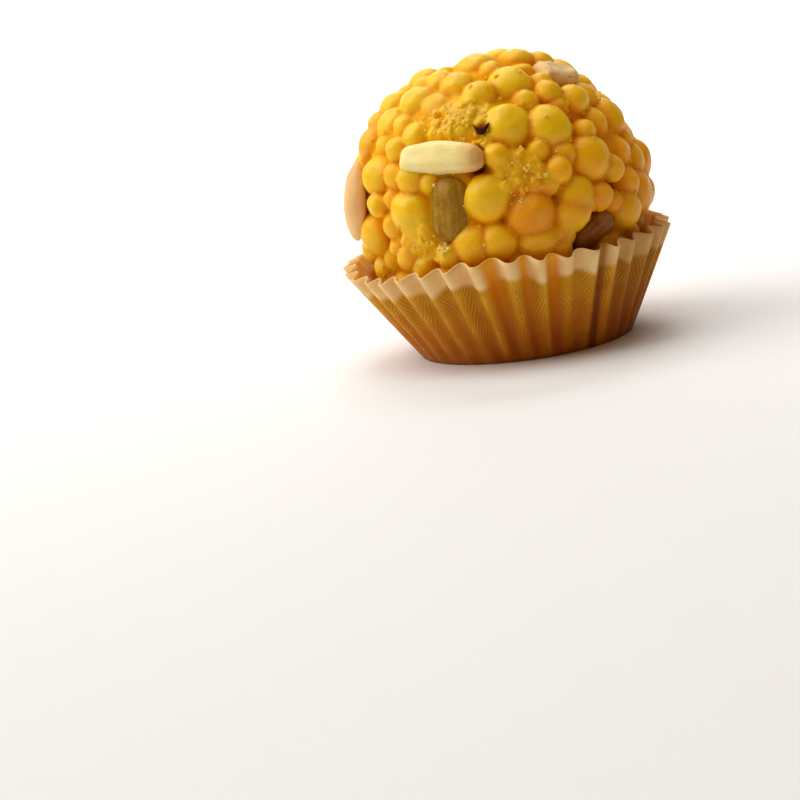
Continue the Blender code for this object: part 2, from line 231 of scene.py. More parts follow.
# %% Size and shape of the ball
BALL_RADIUS = 24.0 * MM
SWELLS = (  # azimuth, elevation, share of the radius, width in degrees
    (-90, 20, 0.048, 45),
    (92, 38, -0.080, 24),
    (92, -22, -0.045, 26),
    (-95, 77, -0.030, 13),
    (178, 74, -0.050, 18),
    (160, 30, 0.030, 35),
    (-150, -5, -0.025, 30),
)


def heading(azimuth, elevation):
    """The unit vector that points from the ball's middle towards a place on it."""
    a, e = math.radians(azimuth), math.radians(elevation)
    return Vector((math.sin(a) * math.cos(e), -math.cos(a) * math.cos(e), math.sin(e)))


def swelling(ways, swells):
    """The sum of wide bumps in each of these directions."""
    total = np.zeros(len(ways))
    for azimuth, elevation, size, width in swells:
        near = np.clip(ways @ np.array(heading(azimuth, elevation)), -1, 1)
        total += size * np.exp(-((np.degrees(np.arccos(near)) / width) ** 2))
    return total


def surface_radius(ways):
    """How far the pearls' tops are from the ball's middle in each of these directions."""
    return BALL_RADIUS * (1 + swelling(ways, SWELLS))


def radius_towards(way):
    return surface_radius(np.array([way]))[0]


def facing(way, spin):
    """A rotation whose Z points along way and whose X is horizontal, then turned by spin."""
    across = Vector((0, 0, 1)).cross(way).normalized()
    return Matrix((across, way.cross(across), way)).transposed().to_4x4() @ Matrix.Rotation(
        spin, 4, "Z"
    )


def placed(way, out, spin, half_sizes):
    """The matrix that puts a unit shape on the ball, its middle out from the ball's middle."""
    place = Matrix.Translation(BALL_MIDDLE + way * out)
    return place @ facing(way, spin) @ Matrix.Diagonal((*half_sizes, 1.0))


print("radius at the front in mm:", round(radius_towards(heading(0, 0)) / MM, 2))

# %% [markdown]
# ## Packing the pearls
# Round things pressed onto a ball settle until each touches its neighbours. The same happens here:
# pearls start on an even spiral, and each round pushes overlapping ones apart. The nuts, the raisins
# and the beds of crumbs keep their places, and so do the front pearls, which are listed one by one.

# %% Pieces that keep their places
FRONT_PEARLS = (  # azimuth, elevation, radius in mm
    (45, 74, 2.6), (67, 67, 2.2), (-22, 75, 3.2), (-93, 62, 2.7), (-45, 61, 2.2), (-26, 58, 2.4),
    (-8, 51, 2.3), (-85, 47, 2.6), (-54, 50, 2.8), (-82, 30, 2.6), (-86, 38, 2.1), (-41, 34, 1.9),
    (-50, 28, 1.7), (13, 56, 3.3), (5, 35, 3.2), (24, 31, 3.4), (46, 41, 2.3), (32, 46, 1.8),
    (69, 30, 3.2), (90, 36, 2.4), (75, 49, 2.0), (39, 15, 3.3), (87, 8, 3.2), (47, 9, 1.8),
    (22, 13, 1.8), (28, 1, 3.0), (26, -4, 2.7), (38, 0, 2.0), (54, -9, 2.9), (85, -6, 2.8),
    (-8, 7, 3.2), (8, -2, 3.4), (-2, 22, 1.7), (-16, -11, 3.1), (-6, -11, 2.7), (10, -14, 3.0),
    (18, -18, 1.8), (-63, 18, 3.1), (-42, 4, 3.3), (-40, 17, 2.1), (-59, 7, 1.7), (-69, -5, 3.2),
    (-26, -14, 1.9), (-40, -19, 1.9), (-47, -15, 1.9), (-72, -21, 2.3), (-70, -26, 2.5),
    (-84, -13, 2.1),
)
FRONT_WINDOW = (-2, 27, 52)  # azimuth, elevation, half width in degrees: no loose pearl starts here
INCLUSIONS = {  # azimuth, elevation, spin, (length, width, thickness) in mm, mm that it stands proud
    "cashew_stick": (-25, 24, -3, (13.6, 4.8, 4.4), 0.3),
    "almond_half": (-76, 8, 84, (12.8, 7.2, 4.4), 1.2),
    "raisin_golden": (-24, 4, 84, (9.6, 6.2, 4.0), -0.8),
    "cashew_chunk": (53, 56, -30, (6.2, 4.6, 3.4), -0.5),
    "raisin_brown": (37, -14, 25, (8.2, 5.6, 3.8), -1.4),
    "raisin_back": (172, 24, 35, (10.4, 6.6, 4.2), -0.4),
    "cashew_back": (-143, 38, -30, (10.8, 5.0, 4.2), 0.4),
    "almond_back": (120, 6, 70, (9.6, 5.6, 3.8), 0.5),
}
CRUMB_BEDS = (  # azimuth, elevation, radius in mm
    (-13, 41, 3.0), (-25, 38, 2.5), (-7, 28, 1.2), (6, 16, 3.2), (14, 11, 2.0), (-38, -9, 3.4),
    (19, -13, 2.1), (150, 52, 3.6), (-165, 6, 3.8), (100, 24, 2.6), (-120, 12, 3.2),
)
CRUMB_BED_OPEN = 0.6  # share of a bed's radius that no pearl covers
NUT_OPEN = 0.8  # the same for a nut's half width


def kept_places():
    """Headings and radii of what the loose pearls make room for. The front pearls come last."""
    ways = [heading(azimuth, elevation) for azimuth, elevation, _ in CRUMB_BEDS]
    radii = [radius * MM * CRUMB_BED_OPEN for _, _, radius in CRUMB_BEDS]
    for azimuth, elevation, spin, (length, width, _), _ in INCLUSIONS.values():
        way = heading(azimuth, elevation)
        along = facing(way, math.radians(spin)).to_3x3() @ Vector((1, 0, 0))
        count = max(2, round(length / width) + 1)
        for step in range(count):
            shift = (length - width) / 2 * MM * (2 * step / (count - 1) - 1)
            ways.append((way * BALL_RADIUS + along * shift).normalized())
            radii.append(width / 2 * MM * NUT_OPEN)
    ways += [heading(azimuth, elevation) for azimuth, elevation, _ in FRONT_PEARLS]
    radii += [radius * MM for _, _, radius in FRONT_PEARLS]
    return np.array(ways), np.array(radii)


# %% Lay the loose pearls on a spiral
SPIRAL_COUNT = 205  # loose pearls that would cover the whole ball
SPIRAL_CLEAR = 0.45  # share of a loose pearl's radius that must lie outside a kept place at first
PEARL_RADIUS = 3.0 * MM
PEARL_RADIUS_SPREAD = 0.33 * MM
PEARL_RADIUS_RANGE = (2.3 * MM, 3.7 * MM)
MIDDLE_RADIUS = BALL_RADIUS - PEARL_RADIUS  # of the sphere that the pearls' middles lie on
PACKING_SEED = 11

rng = np.random.default_rng(PACKING_SEED)
held_ways, held_radii = kept_places()
step = np.arange(SPIRAL_COUNT) + 0.5
height = 1 - 2 * step / SPIRAL_COUNT
turn = step * math.pi * (3 - math.sqrt(5))
level = np.sqrt(1 - height**2)
spiral = np.stack([level * np.cos(turn), level * np.sin(turn), height], axis=1)
loose_radii = rng.normal(PEARL_RADIUS, PEARL_RADIUS_SPREAD, SPIRAL_COUNT)
loose_radii = loose_radii.clip(*PEARL_RADIUS_RANGE)

apart = np.linalg.norm(spiral[:, None, :] - held_ways[None, :, :], axis=2) * MIDDLE_RADIUS
taken = (apart < held_radii[None, :] + SPIRAL_CLEAR * loose_radii[:, None]).any(axis=1)
azimuth, elevation, half_width = FRONT_WINDOW
window = spiral @ np.array(heading(azimuth, elevation)) > math.cos(math.radians(half_width))
free = ~(taken | window)
print("loose pearls:", int(free.sum()))

# %% Push them apart
PACKING = 0.93  # distance between neighbours, as a share of touching
PACKING_ROUNDS = 90
PUSH = 0.35  # share of an overlap that one round takes away
MOST_STRETCH = 0.28
MOST_SINK = 1.1 * MM
PRESSED = 1.15  # how much wider a pearl is than it is deep, because it was pressed in

held = len(held_ways)
ways = np.concatenate([held_ways, spiral[free]])
radii = np.concatenate([held_radii, loose_radii[free]])
wanted = (radii[:, None] + radii[None, :]) * PACKING / MIDDLE_RADIUS
for _ in range(PACKING_ROUNDS):
    gaps = ways[:, None, :] - ways[None, :, :]
    distances = np.linalg.norm(gaps, axis=2) + np.eye(len(ways))
    overlap = np.clip(wanted - distances, 0, None) * (1 - np.eye(len(ways)))
    moves = (gaps / distances[:, :, None] * overlap[:, :, None]).sum(axis=1) * PUSH
    moves[:held] = 0
    ways = ways + moves
    ways /= np.linalg.norm(ways, axis=1)[:, None]

pearls = []  # each pearl's place as a matrix, and its radius
for number in range(held - len(FRONT_PEARLS), len(ways)):
    way, radius = Vector(ways[number]), radii[number]
    stretch = spin = sink = 0.0
    if number >= held:
        stretch = MOST_STRETCH * max(0.0, rng.uniform(-0.6, 1.0))
        spin = rng.uniform(0, math.pi)
        sink = MOST_SINK * rng.uniform(0, 1) ** 2
    wide = radius * PRESSED
    half_sizes = (wide * (1 + stretch), wide * (1 - stretch / 3), radius)
    out = radius_towards(way) - radius - sink
    pearls.append((placed(way, out, spin, half_sizes), radius))
print(len(pearls), "pearls")

# %% [markdown]
# Pearls laid like this leave holes, and a hand would press smaller pearls into them. The same is done
# here. Of many directions, the one that is farthest from everything gets a pearl as large as the hole,
# over and over, until no hole is left that is worth filling. A few holes stay open on purpose, because
# their shade sets the pearls apart.

# %% Fill the holes with smaller pearls
OPEN_GAPS = (  # azimuth, elevation, radius in mm
    (-2, -3, 1.4), (36, 29, 1.1), (24, -18, 1.8), (-10, 19, 1.2), (11, 23, 0.9), (46, 2, 1.2),
    (37, -5, 1.2), (18, 6, 1.1), (-58, -8, 1.1), (-28, 38, 1.1), (130, 20, 1.8), (-140, 24, 1.6),
    (165, 45, 1.4),
)
FILL_TRIES = 8000
FILL_RADII = (1.75 * MM, 2.8 * MM)
FILL_OVERLAP = 1.15 * MM  # how far one is pressed in between its neighbours
FILL_SINK = (0.5 * MM, 1.1 * MM)

filling = np.random.default_rng(41)
tries = filling.normal(0, 1, (FILL_TRIES, 3))
tries /= np.linalg.norm(tries, axis=1)[:, None]
full_radii = radii.copy()
full_radii[: len(CRUMB_BEDS)] /= CRUMB_BED_OPEN
full_radii[len(CRUMB_BEDS) : held - len(FRONT_PEARLS)] /= NUT_OPEN
busy = list(zip(ways, full_radii))
busy += [(np.array(heading(azimuth, elevation)), r * MM) for azimuth, elevation, r in OPEN_GAPS]


def clear_of(way, radius):
    """How far each try is from the rim of something round on the ball."""
    return np.linalg.norm(tries - way, axis=1) * MIDDLE_RADIUS - radius


room = np.min([clear_of(way, radius) for way, radius in busy], axis=0)
before = len(pearls)
while room.max() + FILL_OVERLAP > FILL_RADII[0]:
    best = room.argmax()
    way, radius = Vector(tries[best]), min(room[best] + FILL_OVERLAP, FILL_RADII[1])
    out = radius_towards(way) - radius - filling.uniform(*FILL_SINK)
    pearls.append((placed(way, out, 0.0, (radius, radius, radius)), radius))
    room = np.minimum(room, clear_of(tries[best], radius))
print(len(pearls) - before, "smaller pearls in the holes")

# %% [markdown]
# ## Shader helpers
# A finish is a small tree of nodes: noise makes spots, a ramp turns a number into a colour, and a mix
# lays one colour over another. Short helpers keep each tree readable. Every pattern is fixed to the
# piece by its Object coordinates, or by numbers that the mesh itself carries.


# %% Helpers to join shader nodes
def node(tree, kind, **values):
    """Adds a shader node and sets its sockets by name."""
    made = tree.nodes.new(kind)
    for name, value in values.items():
        made.inputs[name.replace("_", " ")].default_value = value
    return made


def attribute(tree, name):
    made = tree.nodes.new("ShaderNodeAttribute")
    made.attribute_name = name
    return made.outputs["Fac"]


def ramp(tree, source, stops):
    """A colour for each value of source, given as pairs of position and colour."""
    made = tree.nodes.new("ShaderNodeValToRGB")
    bands = made.color_ramp.elements
    while len(bands) < len(stops):
        bands.new(1.0)
    for band, (position, shade) in zip(bands, stops):
        band.position, band.color = position, shade
    tree.links.new(source, made.inputs["Fac"])
    return made.outputs["Color"]


def grey(value):
    return (value, value, value, 1.0)


def mixed(tree, amount, first, second, kind="MIX"):
    """Two colours mixed by amount. Each is a socket or a value."""
    made = tree.nodes.new("ShaderNodeMix")
    made.data_type, made.blend_type = "RGBA", kind
    for value, name in ((amount, "Factor_Float"), (first, "A_Color"), (second, "B_Color")):
        socket = next(s for s in made.inputs if s.identifier == name)
        if isinstance(value, bpy.types.NodeSocket):
            tree.links.new(value, socket)
        else:
            socket.default_value = value
    return next(s for s in made.outputs if s.identifier == "Result_Color")


def calc(tree, operation, *values, clamp=False):
    """A sum on sockets or numbers."""
    made = tree.nodes.new("ShaderNodeMath")
    made.operation, made.use_clamp = operation, clamp
    for socket, value in zip(made.inputs, values):
        if isinstance(value, bpy.types.NodeSocket):
            tree.links.new(value, socket)
        else:
            socket.default_value = value
    return made.outputs["Value"]


def speckle(tree, size, detail=3.0, distortion=0.0):
    """Cloud noise of that size in metres, fixed to the piece."""
    made = node(tree, "ShaderNodeTexNoise", Scale=1 / size, Detail=detail, Distortion=distortion)
    places = tree.nodes.new("ShaderNodeTexCoord")
    tree.links.new(places.outputs["Object"], made.inputs["Vector"])
    return made.outputs["Fac"]


def spots(tree, size, first, last, most=1.0):
    """Noise of that size as a share from 0 to most, which rises between two of its values."""
    return ramp(tree, speckle(tree, size), ((first, grey(0)), (last, grey(most))))


def bump(tree, shader, height, depth, strength=1.0):
    """Fine relief, depth metres high."""
    made = node(tree, "ShaderNodeBump", Strength=strength, Distance=depth)
    tree.links.new(height, made.inputs["Height"])
    tree.links.new(made.outputs["Normal"], shader.inputs["Normal"])


def see_through(shader, weight, depth, shares):
    """How much light enters, how deep it goes, and the share of that for each colour."""
    shader.inputs["Subsurface Weight"].default_value = weight
    shader.inputs["Subsurface Scale"].default_value = depth
    shader.inputs["Subsurface Radius"].default_value = shares


# %% [markdown]
# ## Nuts
# Nuts and raisins come before the ball, because the ball takes their shape where they lie in it. A
# cashew breaks into sticks and chunks with flat sides and rounded edges. A box is bevelled all round,
# narrowed at its ends and bowed, then subdivided. The finish is cream and satin, with fine lines and
# with a stain at one end, where syrup has soaked in.


# %% Helpers to shape a mesh
def points_of(mesh):
    flat = np.empty(len(mesh.vertices) * 3)
    mesh.vertices.foreach_get("co", flat)
    return flat.reshape(-1, 3)


def give(piece, name, values):
    """Keeps one number for each point of a piece, for its material to read."""
    piece.data.attributes.new(name, "FLOAT", "POINT").data.foreach_set("value", values)


def subdivide(piece, levels):
    finer = piece.modifiers.new("Finer", "SUBSURF")
    finer.levels = finer.render_levels = levels
    apply_modifiers(piece)


def roughen(piece, size, height, detail=1):
    """Raises and sinks the surface by cloud noise of that size."""
    grain = bpy.data.textures.new(f"{piece.name}_grain", "CLOUDS")
    grain.noise_scale, grain.noise_depth = size, detail
    lift = piece.modifiers.new("Uneven", "DISPLACE")
    lift.texture, lift.strength, lift.mid_level = grain, height, 0.5
    apply_modifiers(piece)


def box(name, length, width, thickness):
    bpy.ops.mesh.primitive_cube_add(size=1)
    piece = bpy.context.active_object
    piece.name = name
    piece.scale = (length, width, thickness)
    bpy.ops.object.transform_apply(location=True, rotation=True, scale=True)
    return piece


def bevel_edges(piece, offset, segments):
    only(piece)
    bpy.ops.object.mode_set(mode="EDIT")
    bpy.ops.mesh.select_all(action="SELECT")
    bpy.ops.mesh.bevel(offset=offset, segments=segments, affect="EDGES")
    bpy.ops.object.mode_set(mode="OBJECT")


# %% Helper to set a piece in the ball
nuts = []  # what the ball gets pockets for


def set_in_ball(piece, name, finish):
    """Puts a piece that was modelled flat at its node's place, finished and riding."""
    azimuth, elevation, spin, (_, _, thickness), proud = INCLUSIONS[name]
    way = heading(azimuth, elevation)
    out = radius_towards(way) + (proud - thickness / 2) * MM
    piece.data.materials.append(finish)
    only(piece)
    piece.matrix_world = placed(way, out, math.radians(spin), (1, 1, 1))
    bpy.ops.object.transform_apply(location=True, rotation=True, scale=True)
    bpy.ops.object.shade_smooth()
    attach(piece, "root")
    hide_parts(name)
    nuts.append(piece)
    print(piece.name, len(piece.data.polygons), "faces")


# %% Mix the nut finish
def nut_finish(name, top, low, stain, lines, specks=None):
    """Pale nut flesh. The stain shows where the mesh says that syrup has soaked in."""
    made, tree, shader = new_material(name)
    base = mixed(tree, spots(tree, 3.0 * MM, 0.35, 0.70), top, low)
    base = mixed(tree, spots(tree, 0.5 * MM, 0.45, 0.80, 0.45), base, lines)
    if specks:
        base = mixed(tree, spots(tree, 0.7 * MM, 0.66, 0.71, 0.9), base, specks)
    soaked = ramp(tree, attribute(tree, "soaked"), ((0.05, grey(0)), (1.0, grey(1))))
    base = mixed(tree, soaked, base, stain)
    tree.links.new(base, shader.inputs["Base Color"])
    gloss = ramp(tree, speckle(tree, 1.4 * MM), ((0.3, grey(0.42)), (0.7, grey(0.60))))
    tree.links.new(gloss, shader.inputs["Roughness"])
    shader.inputs["Specular IOR Level"].default_value = 0.4
    see_through(shader, 0.4, 0.5 * MM, (1.0, 0.6, 0.3))
    bump(tree, shader, speckle(tree, 0.25 * MM, 4.0), 0.04 * MM, 0.6)
    return made


# %% Model the cashew pieces
WIDEST = 0.25  # where along the piece it is widest, from -1 at one end to 1 at the other
STRAIGHT_SIDE = 0.45  # 0 narrows both sides alike, and 1 keeps the lower one straight


def cashew_piece(node_name, blunt_end, thin_end, bow):
    """A broken stick of cashew. The ends are shares of its full width."""
    length, width, thickness = (size * MM for size in INCLUSIONS[node_name][3])
    piece = box(f"{node_name}_nut", length, width, thickness)
    bevel_edges(piece, 0.36 * thickness, 4)
    bpy.ops.object.mode_set(mode="EDIT")
    bpy.ops.mesh.select_all(action="SELECT")
    bpy.ops.mesh.subdivide(number_cuts=2)
    bpy.ops.object.mode_set(mode="OBJECT")
    for vertex in piece.data.vertices:
        along = 2 * vertex.co.x / length
        if along < WIDEST:
            size = 1 - (1 - blunt_end) * ((WIDEST - along) / (1 + WIDEST)) ** 2
        else:
            size = 1 - (1 - thin_end) * ((along - WIDEST) / (1 - WIDEST)) ** 2
        vertex.co.y = vertex.co.y * size - STRAIGHT_SIDE * (1 - size) * width / 2
        vertex.co.z = vertex.co.z * size + bow * (1 - along * along) * thickness
    subdivide(piece, 2)
    roughen(piece, 3.4 * MM, 0.45 * MM)
    roughen(piece, 0.9 * MM, 0.09 * MM, 2)
    return piece


def give_soak(piece, start, end):
    """Syrup that has soaked in from one end: 0 at start and 1 at end, as shares of the length."""
    x = points_of(piece.data)[:, 0]
    along = (x - x.min()) / (x.max() - x.min())
    give(piece, "soaked", np.clip((along - start) / (end - start), 0, 1))


cashew = nut_finish(
    "cashew_flesh", colour(255, 238, 168), colour(255, 228, 138), colour(196, 116, 10),
    colour(246, 212, 116)
)
for node_name, blunt_end, thin_end, bow in (
    ("cashew_stick", 0.80, 0.56, 0.06),
    ("cashew_back", 0.90, 0.60, 0.14),
):
    nut = cashew_piece(node_name, blunt_end, thin_end, bow)
    give_soak(nut, 0.70, 1.10)
    set_in_ball(nut, node_name, cashew)

# %% Break a chunk off a cashew
broken = nut_finish(
    "cashew_broken", colour(240, 208, 142), colour(222, 184, 112), colour(178, 96, 6),
    colour(208, 160, 92), colour(120, 62, 10)
)
length, width, thickness = (size * MM for size in INCLUSIONS["cashew_chunk"][3])
chunk = box("cashew_chunk_nut", length, width, thickness)
for vertex in chunk.data.vertices:
    x, y, z = vertex.co.x / length, vertex.co.y / width, vertex.co.z / thickness
    lean = 0.14 * z + 0.10 * x * y
    vertex.co = ((x + lean) * length, (y - 0.5 * lean) * width, z * thickness)
bevel_edges(chunk, 0.24 * thickness, 3)
subdivide(chunk, 3)
roughen(chunk, 2.4 * MM, 0.6 * MM)
roughen(chunk, 0.6 * MM, 0.12 * MM, 2)
give_soak(chunk, 0.75, 1.6)
set_in_ball(chunk, "cashew_chunk", broken)

# %% [markdown]
# ## Almonds
# Half a skinned almond is a flat-sided oval that comes to a point. A ball is laid on its side, pointed
# at one end and flattened below. Its finish is a smooth tan, with faint lines from base to point.


# %% Model the almond halves
def lying_ball(name, length, width, thickness, around, along):
    """A ball of those sizes whose poles lie along X."""
    bpy.ops.mesh.primitive_uv_sphere_add(
        segments=around, ring_count=along, radius=0.5, rotation=(0, math.pi / 2, 0)
    )
    piece = bpy.context.active_object
    piece.name = name
    bpy.ops.object.transform_apply(location=True, rotation=True, scale=True)
    piece.scale = (length, width, thickness)
    bpy.ops.object.transform_apply(location=True, rotation=True, scale=True)
    return piece


def almond_piece(node_name):
    length, width, thickness = (size * MM for size in INCLUSIONS[node_name][3])
    piece = lying_ball(f"{node_name}_nut", length, width, thickness, 28, 20)
    for vertex in piece.data.vertices:
        towards_point = max(0.0, 2 * vertex.co.x / length)
        slim = 1 - 0.28 * towards_point**2
        around = math.atan2(vertex.co.z, vertex.co.y)
        groove = 1 + 0.008 * math.cos(22 * around)
        vertex.co.y *= slim * groove
        vertex.co.z *= slim * groove * (0.55 if vertex.co.z < 0 else 1.0)
    subdivide(piece, 2)
    roughen(piece, 3.5 * MM, 0.35 * MM)
    return piece


almond = nut_finish(
    "almond_flesh", colour(248, 206, 138), colour(238, 188, 122), colour(212, 144, 66),
    colour(226, 174, 104)
)
for node_name in ("almond_half", "almond_back"):
    nut = almond_piece(node_name)
    give_soak(nut, 0.0, 2.6)
    set_in_ball(nut, node_name, almond)

# %% [markdown]
# ## Raisins
# A raisin swells again in warm syrup: it keeps its creases, but its skin is tight and lets light
# through. A lying ball is made fuller at its ends and creased along its length by a wave whose depth
# changes, and noise breaks up the creases.


# %% Model the raisins
def raisin_piece(node_name, creases, blunt):
    """A raisin. A higher blunt gives fuller ends, and 2 gives an oval."""
    length, width, thickness = (size * MM for size in INCLUSIONS[node_name][3])
    piece = lying_ball(f"{node_name}_fruit", length, width, thickness, 48, 28)
    for vertex in piece.data.vertices:
        x = 2 * vertex.co.x / length
        around = math.atan2(vertex.co.z / thickness, vertex.co.y / width)
        waver = noise.noise(vertex.co / (3 * MM))
        wave = math.cos(creases * around + 2.5 * x + 2 * waver)
        fine = math.cos(3.1 * creases * around + 4 * waver)
        pinch = 1 - 0.08 * (1 - x * x) * (1 + wave) - 0.02 * (1 - x * x) * (1 + fine)
        if abs(x) < 0.999:
            pinch *= ((1 - abs(x) ** blunt) / (1 - x * x)) ** 0.5
        vertex.co.y *= pinch
        vertex.co.z *= pinch
    subdivide(piece, 1)
    points = points_of(piece.data) / np.array((length / 2, width, thickness))
    around = np.arctan2(points[:, 2], points[:, 1])
    streaks = np.cos(3 * creases * around + 1.5 * np.sin(3 * points[:, 0]) + creases)
    give(piece, "streak", 0.5 + 0.5 * streaks)
    roughen(piece, 1.6 * MM, 0.3 * MM, 2)
    return piece


def raisin_finish(name, skin, dark, edge):
    """Raisin skin: blotches of two shades, pale streaks along it and fine veins."""
    made, tree, shader = new_material(name)
    base = mixed(tree, spots(tree, 2.6 * MM, 0.3, 0.7), skin, dark)
    patches = spots(tree, 1.8 * MM, 0.3, 0.6, 0.45)
    streaks = calc(tree, "MULTIPLY", attribute(tree, "streak"), patches)
    base = mixed(tree, streaks, base, edge)
    veins = ramp(tree, speckle(tree, 0.9 * MM, 3.0, 1.2), ((0.5, grey(0)), (0.62, grey(0.3))))
    base = mixed(tree, veins, base, edge)
    tree.links.new(base, shader.inputs["Base Color"])
    gloss = ramp(tree, speckle(tree, 1.0 * MM), ((0.3, grey(0.34)), (0.7, grey(0.52))))
    tree.links.new(gloss, shader.inputs["Roughness"])
    shader.inputs["Specular IOR Level"].default_value = 0.25
    see_through(shader, 0.4, 0.5 * MM, (1.0, 0.5, 0.12))
    bump(tree, shader, speckle(tree, 0.5 * MM, 4.0), 0.07 * MM, 0.6)
    return made


golden_skin = raisin_finish(
    "golden_skin", colour(168, 122, 6), colour(148, 98, 2), colour(196, 156, 44)
)
brown_skin = raisin_finish(
    "brown_skin", colour(146, 84, 0), colour(118, 60, 0), colour(166, 106, 10)
)
for node_name, creases, blunt, finish, slot_name in (
    ("raisin_golden", 5, 4.0, golden_skin, "golden_raisin"),
    ("raisin_brown", 4, 2.6, brown_skin, "brown_raisin"),
    ("raisin_back", 5, 2.6, brown_skin, "brown_raisin"),
):
    set_in_ball(raisin_piece(node_name, creases, blunt), node_name, finish)

# %% [markdown]
# ## One pearl, then many
# Batter dropped into hot fat gives a round pearl with a slight dent or a short tail, and pressing dents
# it more. One is modelled from a fine ball: a patch is pulled in and another is pulled out, with the
# faces around them following. Its copies are turned at random, so the dent shows in another place on
# each. Crumbs pressed into the beds and the gaps are made the same way, from a coarser ball.


# %% Helpers to shape in edit mode and to make copies
def pull(piece, towards, reach, move):
    """In edit mode, moves the outermost point in one direction, and those around it by less."""
    only(piece)
    bpy.ops.object.mode_set(mode="EDIT")
    bpy.ops.mesh.select_mode(type="VERT")
    bpy.ops.mesh.select_all(action="DESELECT")
    bm = bmesh.from_edit_mesh(piece.data)
    end = max(bm.verts, key=lambda vertex: vertex.co.dot(Vector(towards)))
    end.select_set(True)
    bm.select_flush_mode()
    bmesh.update_edit_mesh(piece.data)
    bpy.ops.transform.translate(value=move, use_proportional_edit=True, proportional_size=reach)
    bpy.ops.object.mode_set(mode="OBJECT")


def copies(shape, places, name):
    """One object that holds a copy of the shape's mesh at each place. The shape is removed."""
    base = points_of(shape.data)
    corners = [tuple(face.vertices) for face in shape.data.polygons]
    points, faces = [], []
    for number, place in enumerate(places):
        matrix = np.array(place)
        points.append(base @ matrix[:3, :3].T + matrix[:3, 3])
        faces += [tuple(corner + number * len(base) for corner in face) for face in corners]
    mesh = bpy.data.meshes.new(name)
    mesh.from_pydata(np.concatenate(points).tolist(), [], faces)
    made = bpy.data.objects.new(name, mesh)
    bpy.context.scene.collection.objects.link(made)
    bpy.data.objects.remove(shape)
    return made


def random_turn(rng):
    angles = rng.uniform(0, 2 * math.pi, 3)
    return Matrix.Rotation(angles[0], 4, "X") @ Matrix.Rotation(angles[1], 4, "Y") @ (
        Matrix.Rotation(angles[2], 4, "Z")
    )


# %% Model the pearl and copy it to its places
bpy.ops.mesh.primitive_ico_sphere_add(subdivisions=4, radius=1)
pearl = bpy.context.active_object
pull(pearl, (0.2, 0.1, 1), 0.9, (0, 0, -0.10))
pull(pearl, (-1, 0.4, -0.2), 0.7, (-0.07, 0.02, 0))
pull(pearl, (0.3, -1, -0.5), 0.9, (-0.02, 0.09, 0.04))
print("the pearl:", len(pearl.data.polygons), "faces")

turns = np.random.default_rng(21)
ball = copies(pearl, [place @ random_turn(turns) for place, _ in pearls], "boondi_pearls")
print("all pearls:", len(ball.data.polygons), "faces")


# %% Tell gaps from pearls
def nearest_pearls(points):
    """For each point, its pearl's number, and how far off the nearest two pearls' skins are."""
    nearest = np.full(len(points), 1.0)
    second = np.full(len(points), 1.0)
    owner = np.zeros(len(points), int)
    for number, (place, radius) in enumerate(pearls):
        matrix = np.array(place.inverted())
        inside = points @ matrix[:3, :3].T + matrix[:3, 3]
        off = (np.linalg.norm(inside, axis=1) - 1) * radius
        closer = off < nearest
        second = np.where(closer, nearest, np.minimum(second, off))
        owner[closer] = number
        nearest = np.where(closer, off, nearest)
    return owner, nearest, second


# %% Press lumps of crumb into the beds
LUMP_SIZES = (0.45 * MM, 1.15 * MM)  # radius
BED_LUMPS = 5.0  # for each square of a bed's radius in mm
BED_DEPTH = (0.6 * MM, 1.4 * MM)  # how far a lump's top lies under the pearls' tops

pressing = np.random.default_rng(31)
lump_places = []
for azimuth, elevation, radius in CRUMB_BEDS:
    towards = heading(azimuth, elevation)
    frame_of_bed = facing(towards, 0.0).to_3x3()
    for _ in range(round(BED_LUMPS * radius**2)):
        turn = pressing.uniform(0, 2 * math.pi)
        off = 1.12 * radius * MM * pressing.uniform(0, 1) ** 0.5
        aside = frame_of_bed @ Vector((off * math.cos(turn), off * math.sin(turn), 0))
        way = (towards * BALL_RADIUS + aside).normalized()
        size = LUMP_SIZES[0] + (LUMP_SIZES[1] - LUMP_SIZES[0]) * pressing.uniform(0, 1) ** 1.6
        middle = BALL_MIDDLE + way * (radius_towards(way) - pressing.uniform(*BED_DEPTH) - size)
        squashed = Matrix.Diagonal((*(size * pressing.uniform(0.8, 1.25, 3)), 1.0))
        lump_places.append(Matrix.Translation(middle) @ random_turn(pressing) @ squashed)
print(len(lump_places), "lumps")

bpy.ops.mesh.primitive_ico_sphere_add(subdivisions=2, radius=1)
lump = bpy.context.active_object
pull(lump, (0.1, 0.2, 1), 1.0, (0.1, 0, -0.25))
pull(lump, (1, -0.3, 0), 0.8, (0.15, 0, 0.1))
lumps = copies(lump, lump_places, "pressed_lumps")

# %% [markdown]
# ## Pressing them into one ball
# The pearls stand in a mass of crumbs and syrup that fills some gaps and leaves others open. A round
# core with its own swells makes that mass. A voxel remesh then joins core, pearls and lumps into one
# skin, which a Boolean would do too, but the remesh also rounds the joints a little, as syrup does.

# %% Add the core and remesh
CORE_DEPTH = 2.3 * MM  # under the pearls' tops
GAP_DEPTH = 2.0 * MM  # how much deeper an open gap goes
PASTE = (  # azimuth, elevation, mm that the mass stands higher, width in degrees
    (-16, 40, 1.3, 10), (6, 16, 1.3, 8), (-38, -9, 1.3, 9), (19, -13, 0.9, 6), (-50, 45, 0.6, 22),
    (-20, 70, 0.5, 16), (60, 20, 0.2, 16), (-165, 6, 1.2, 12), (150, 52, 1.2, 11), (-120, 12, 1.2, 10),
    (100, 24, 0.9, 9),
)
VOXEL = 0.27 * MM
BALL_BOTTOM = 0.75 * MM  # flat where the ball stands in its case

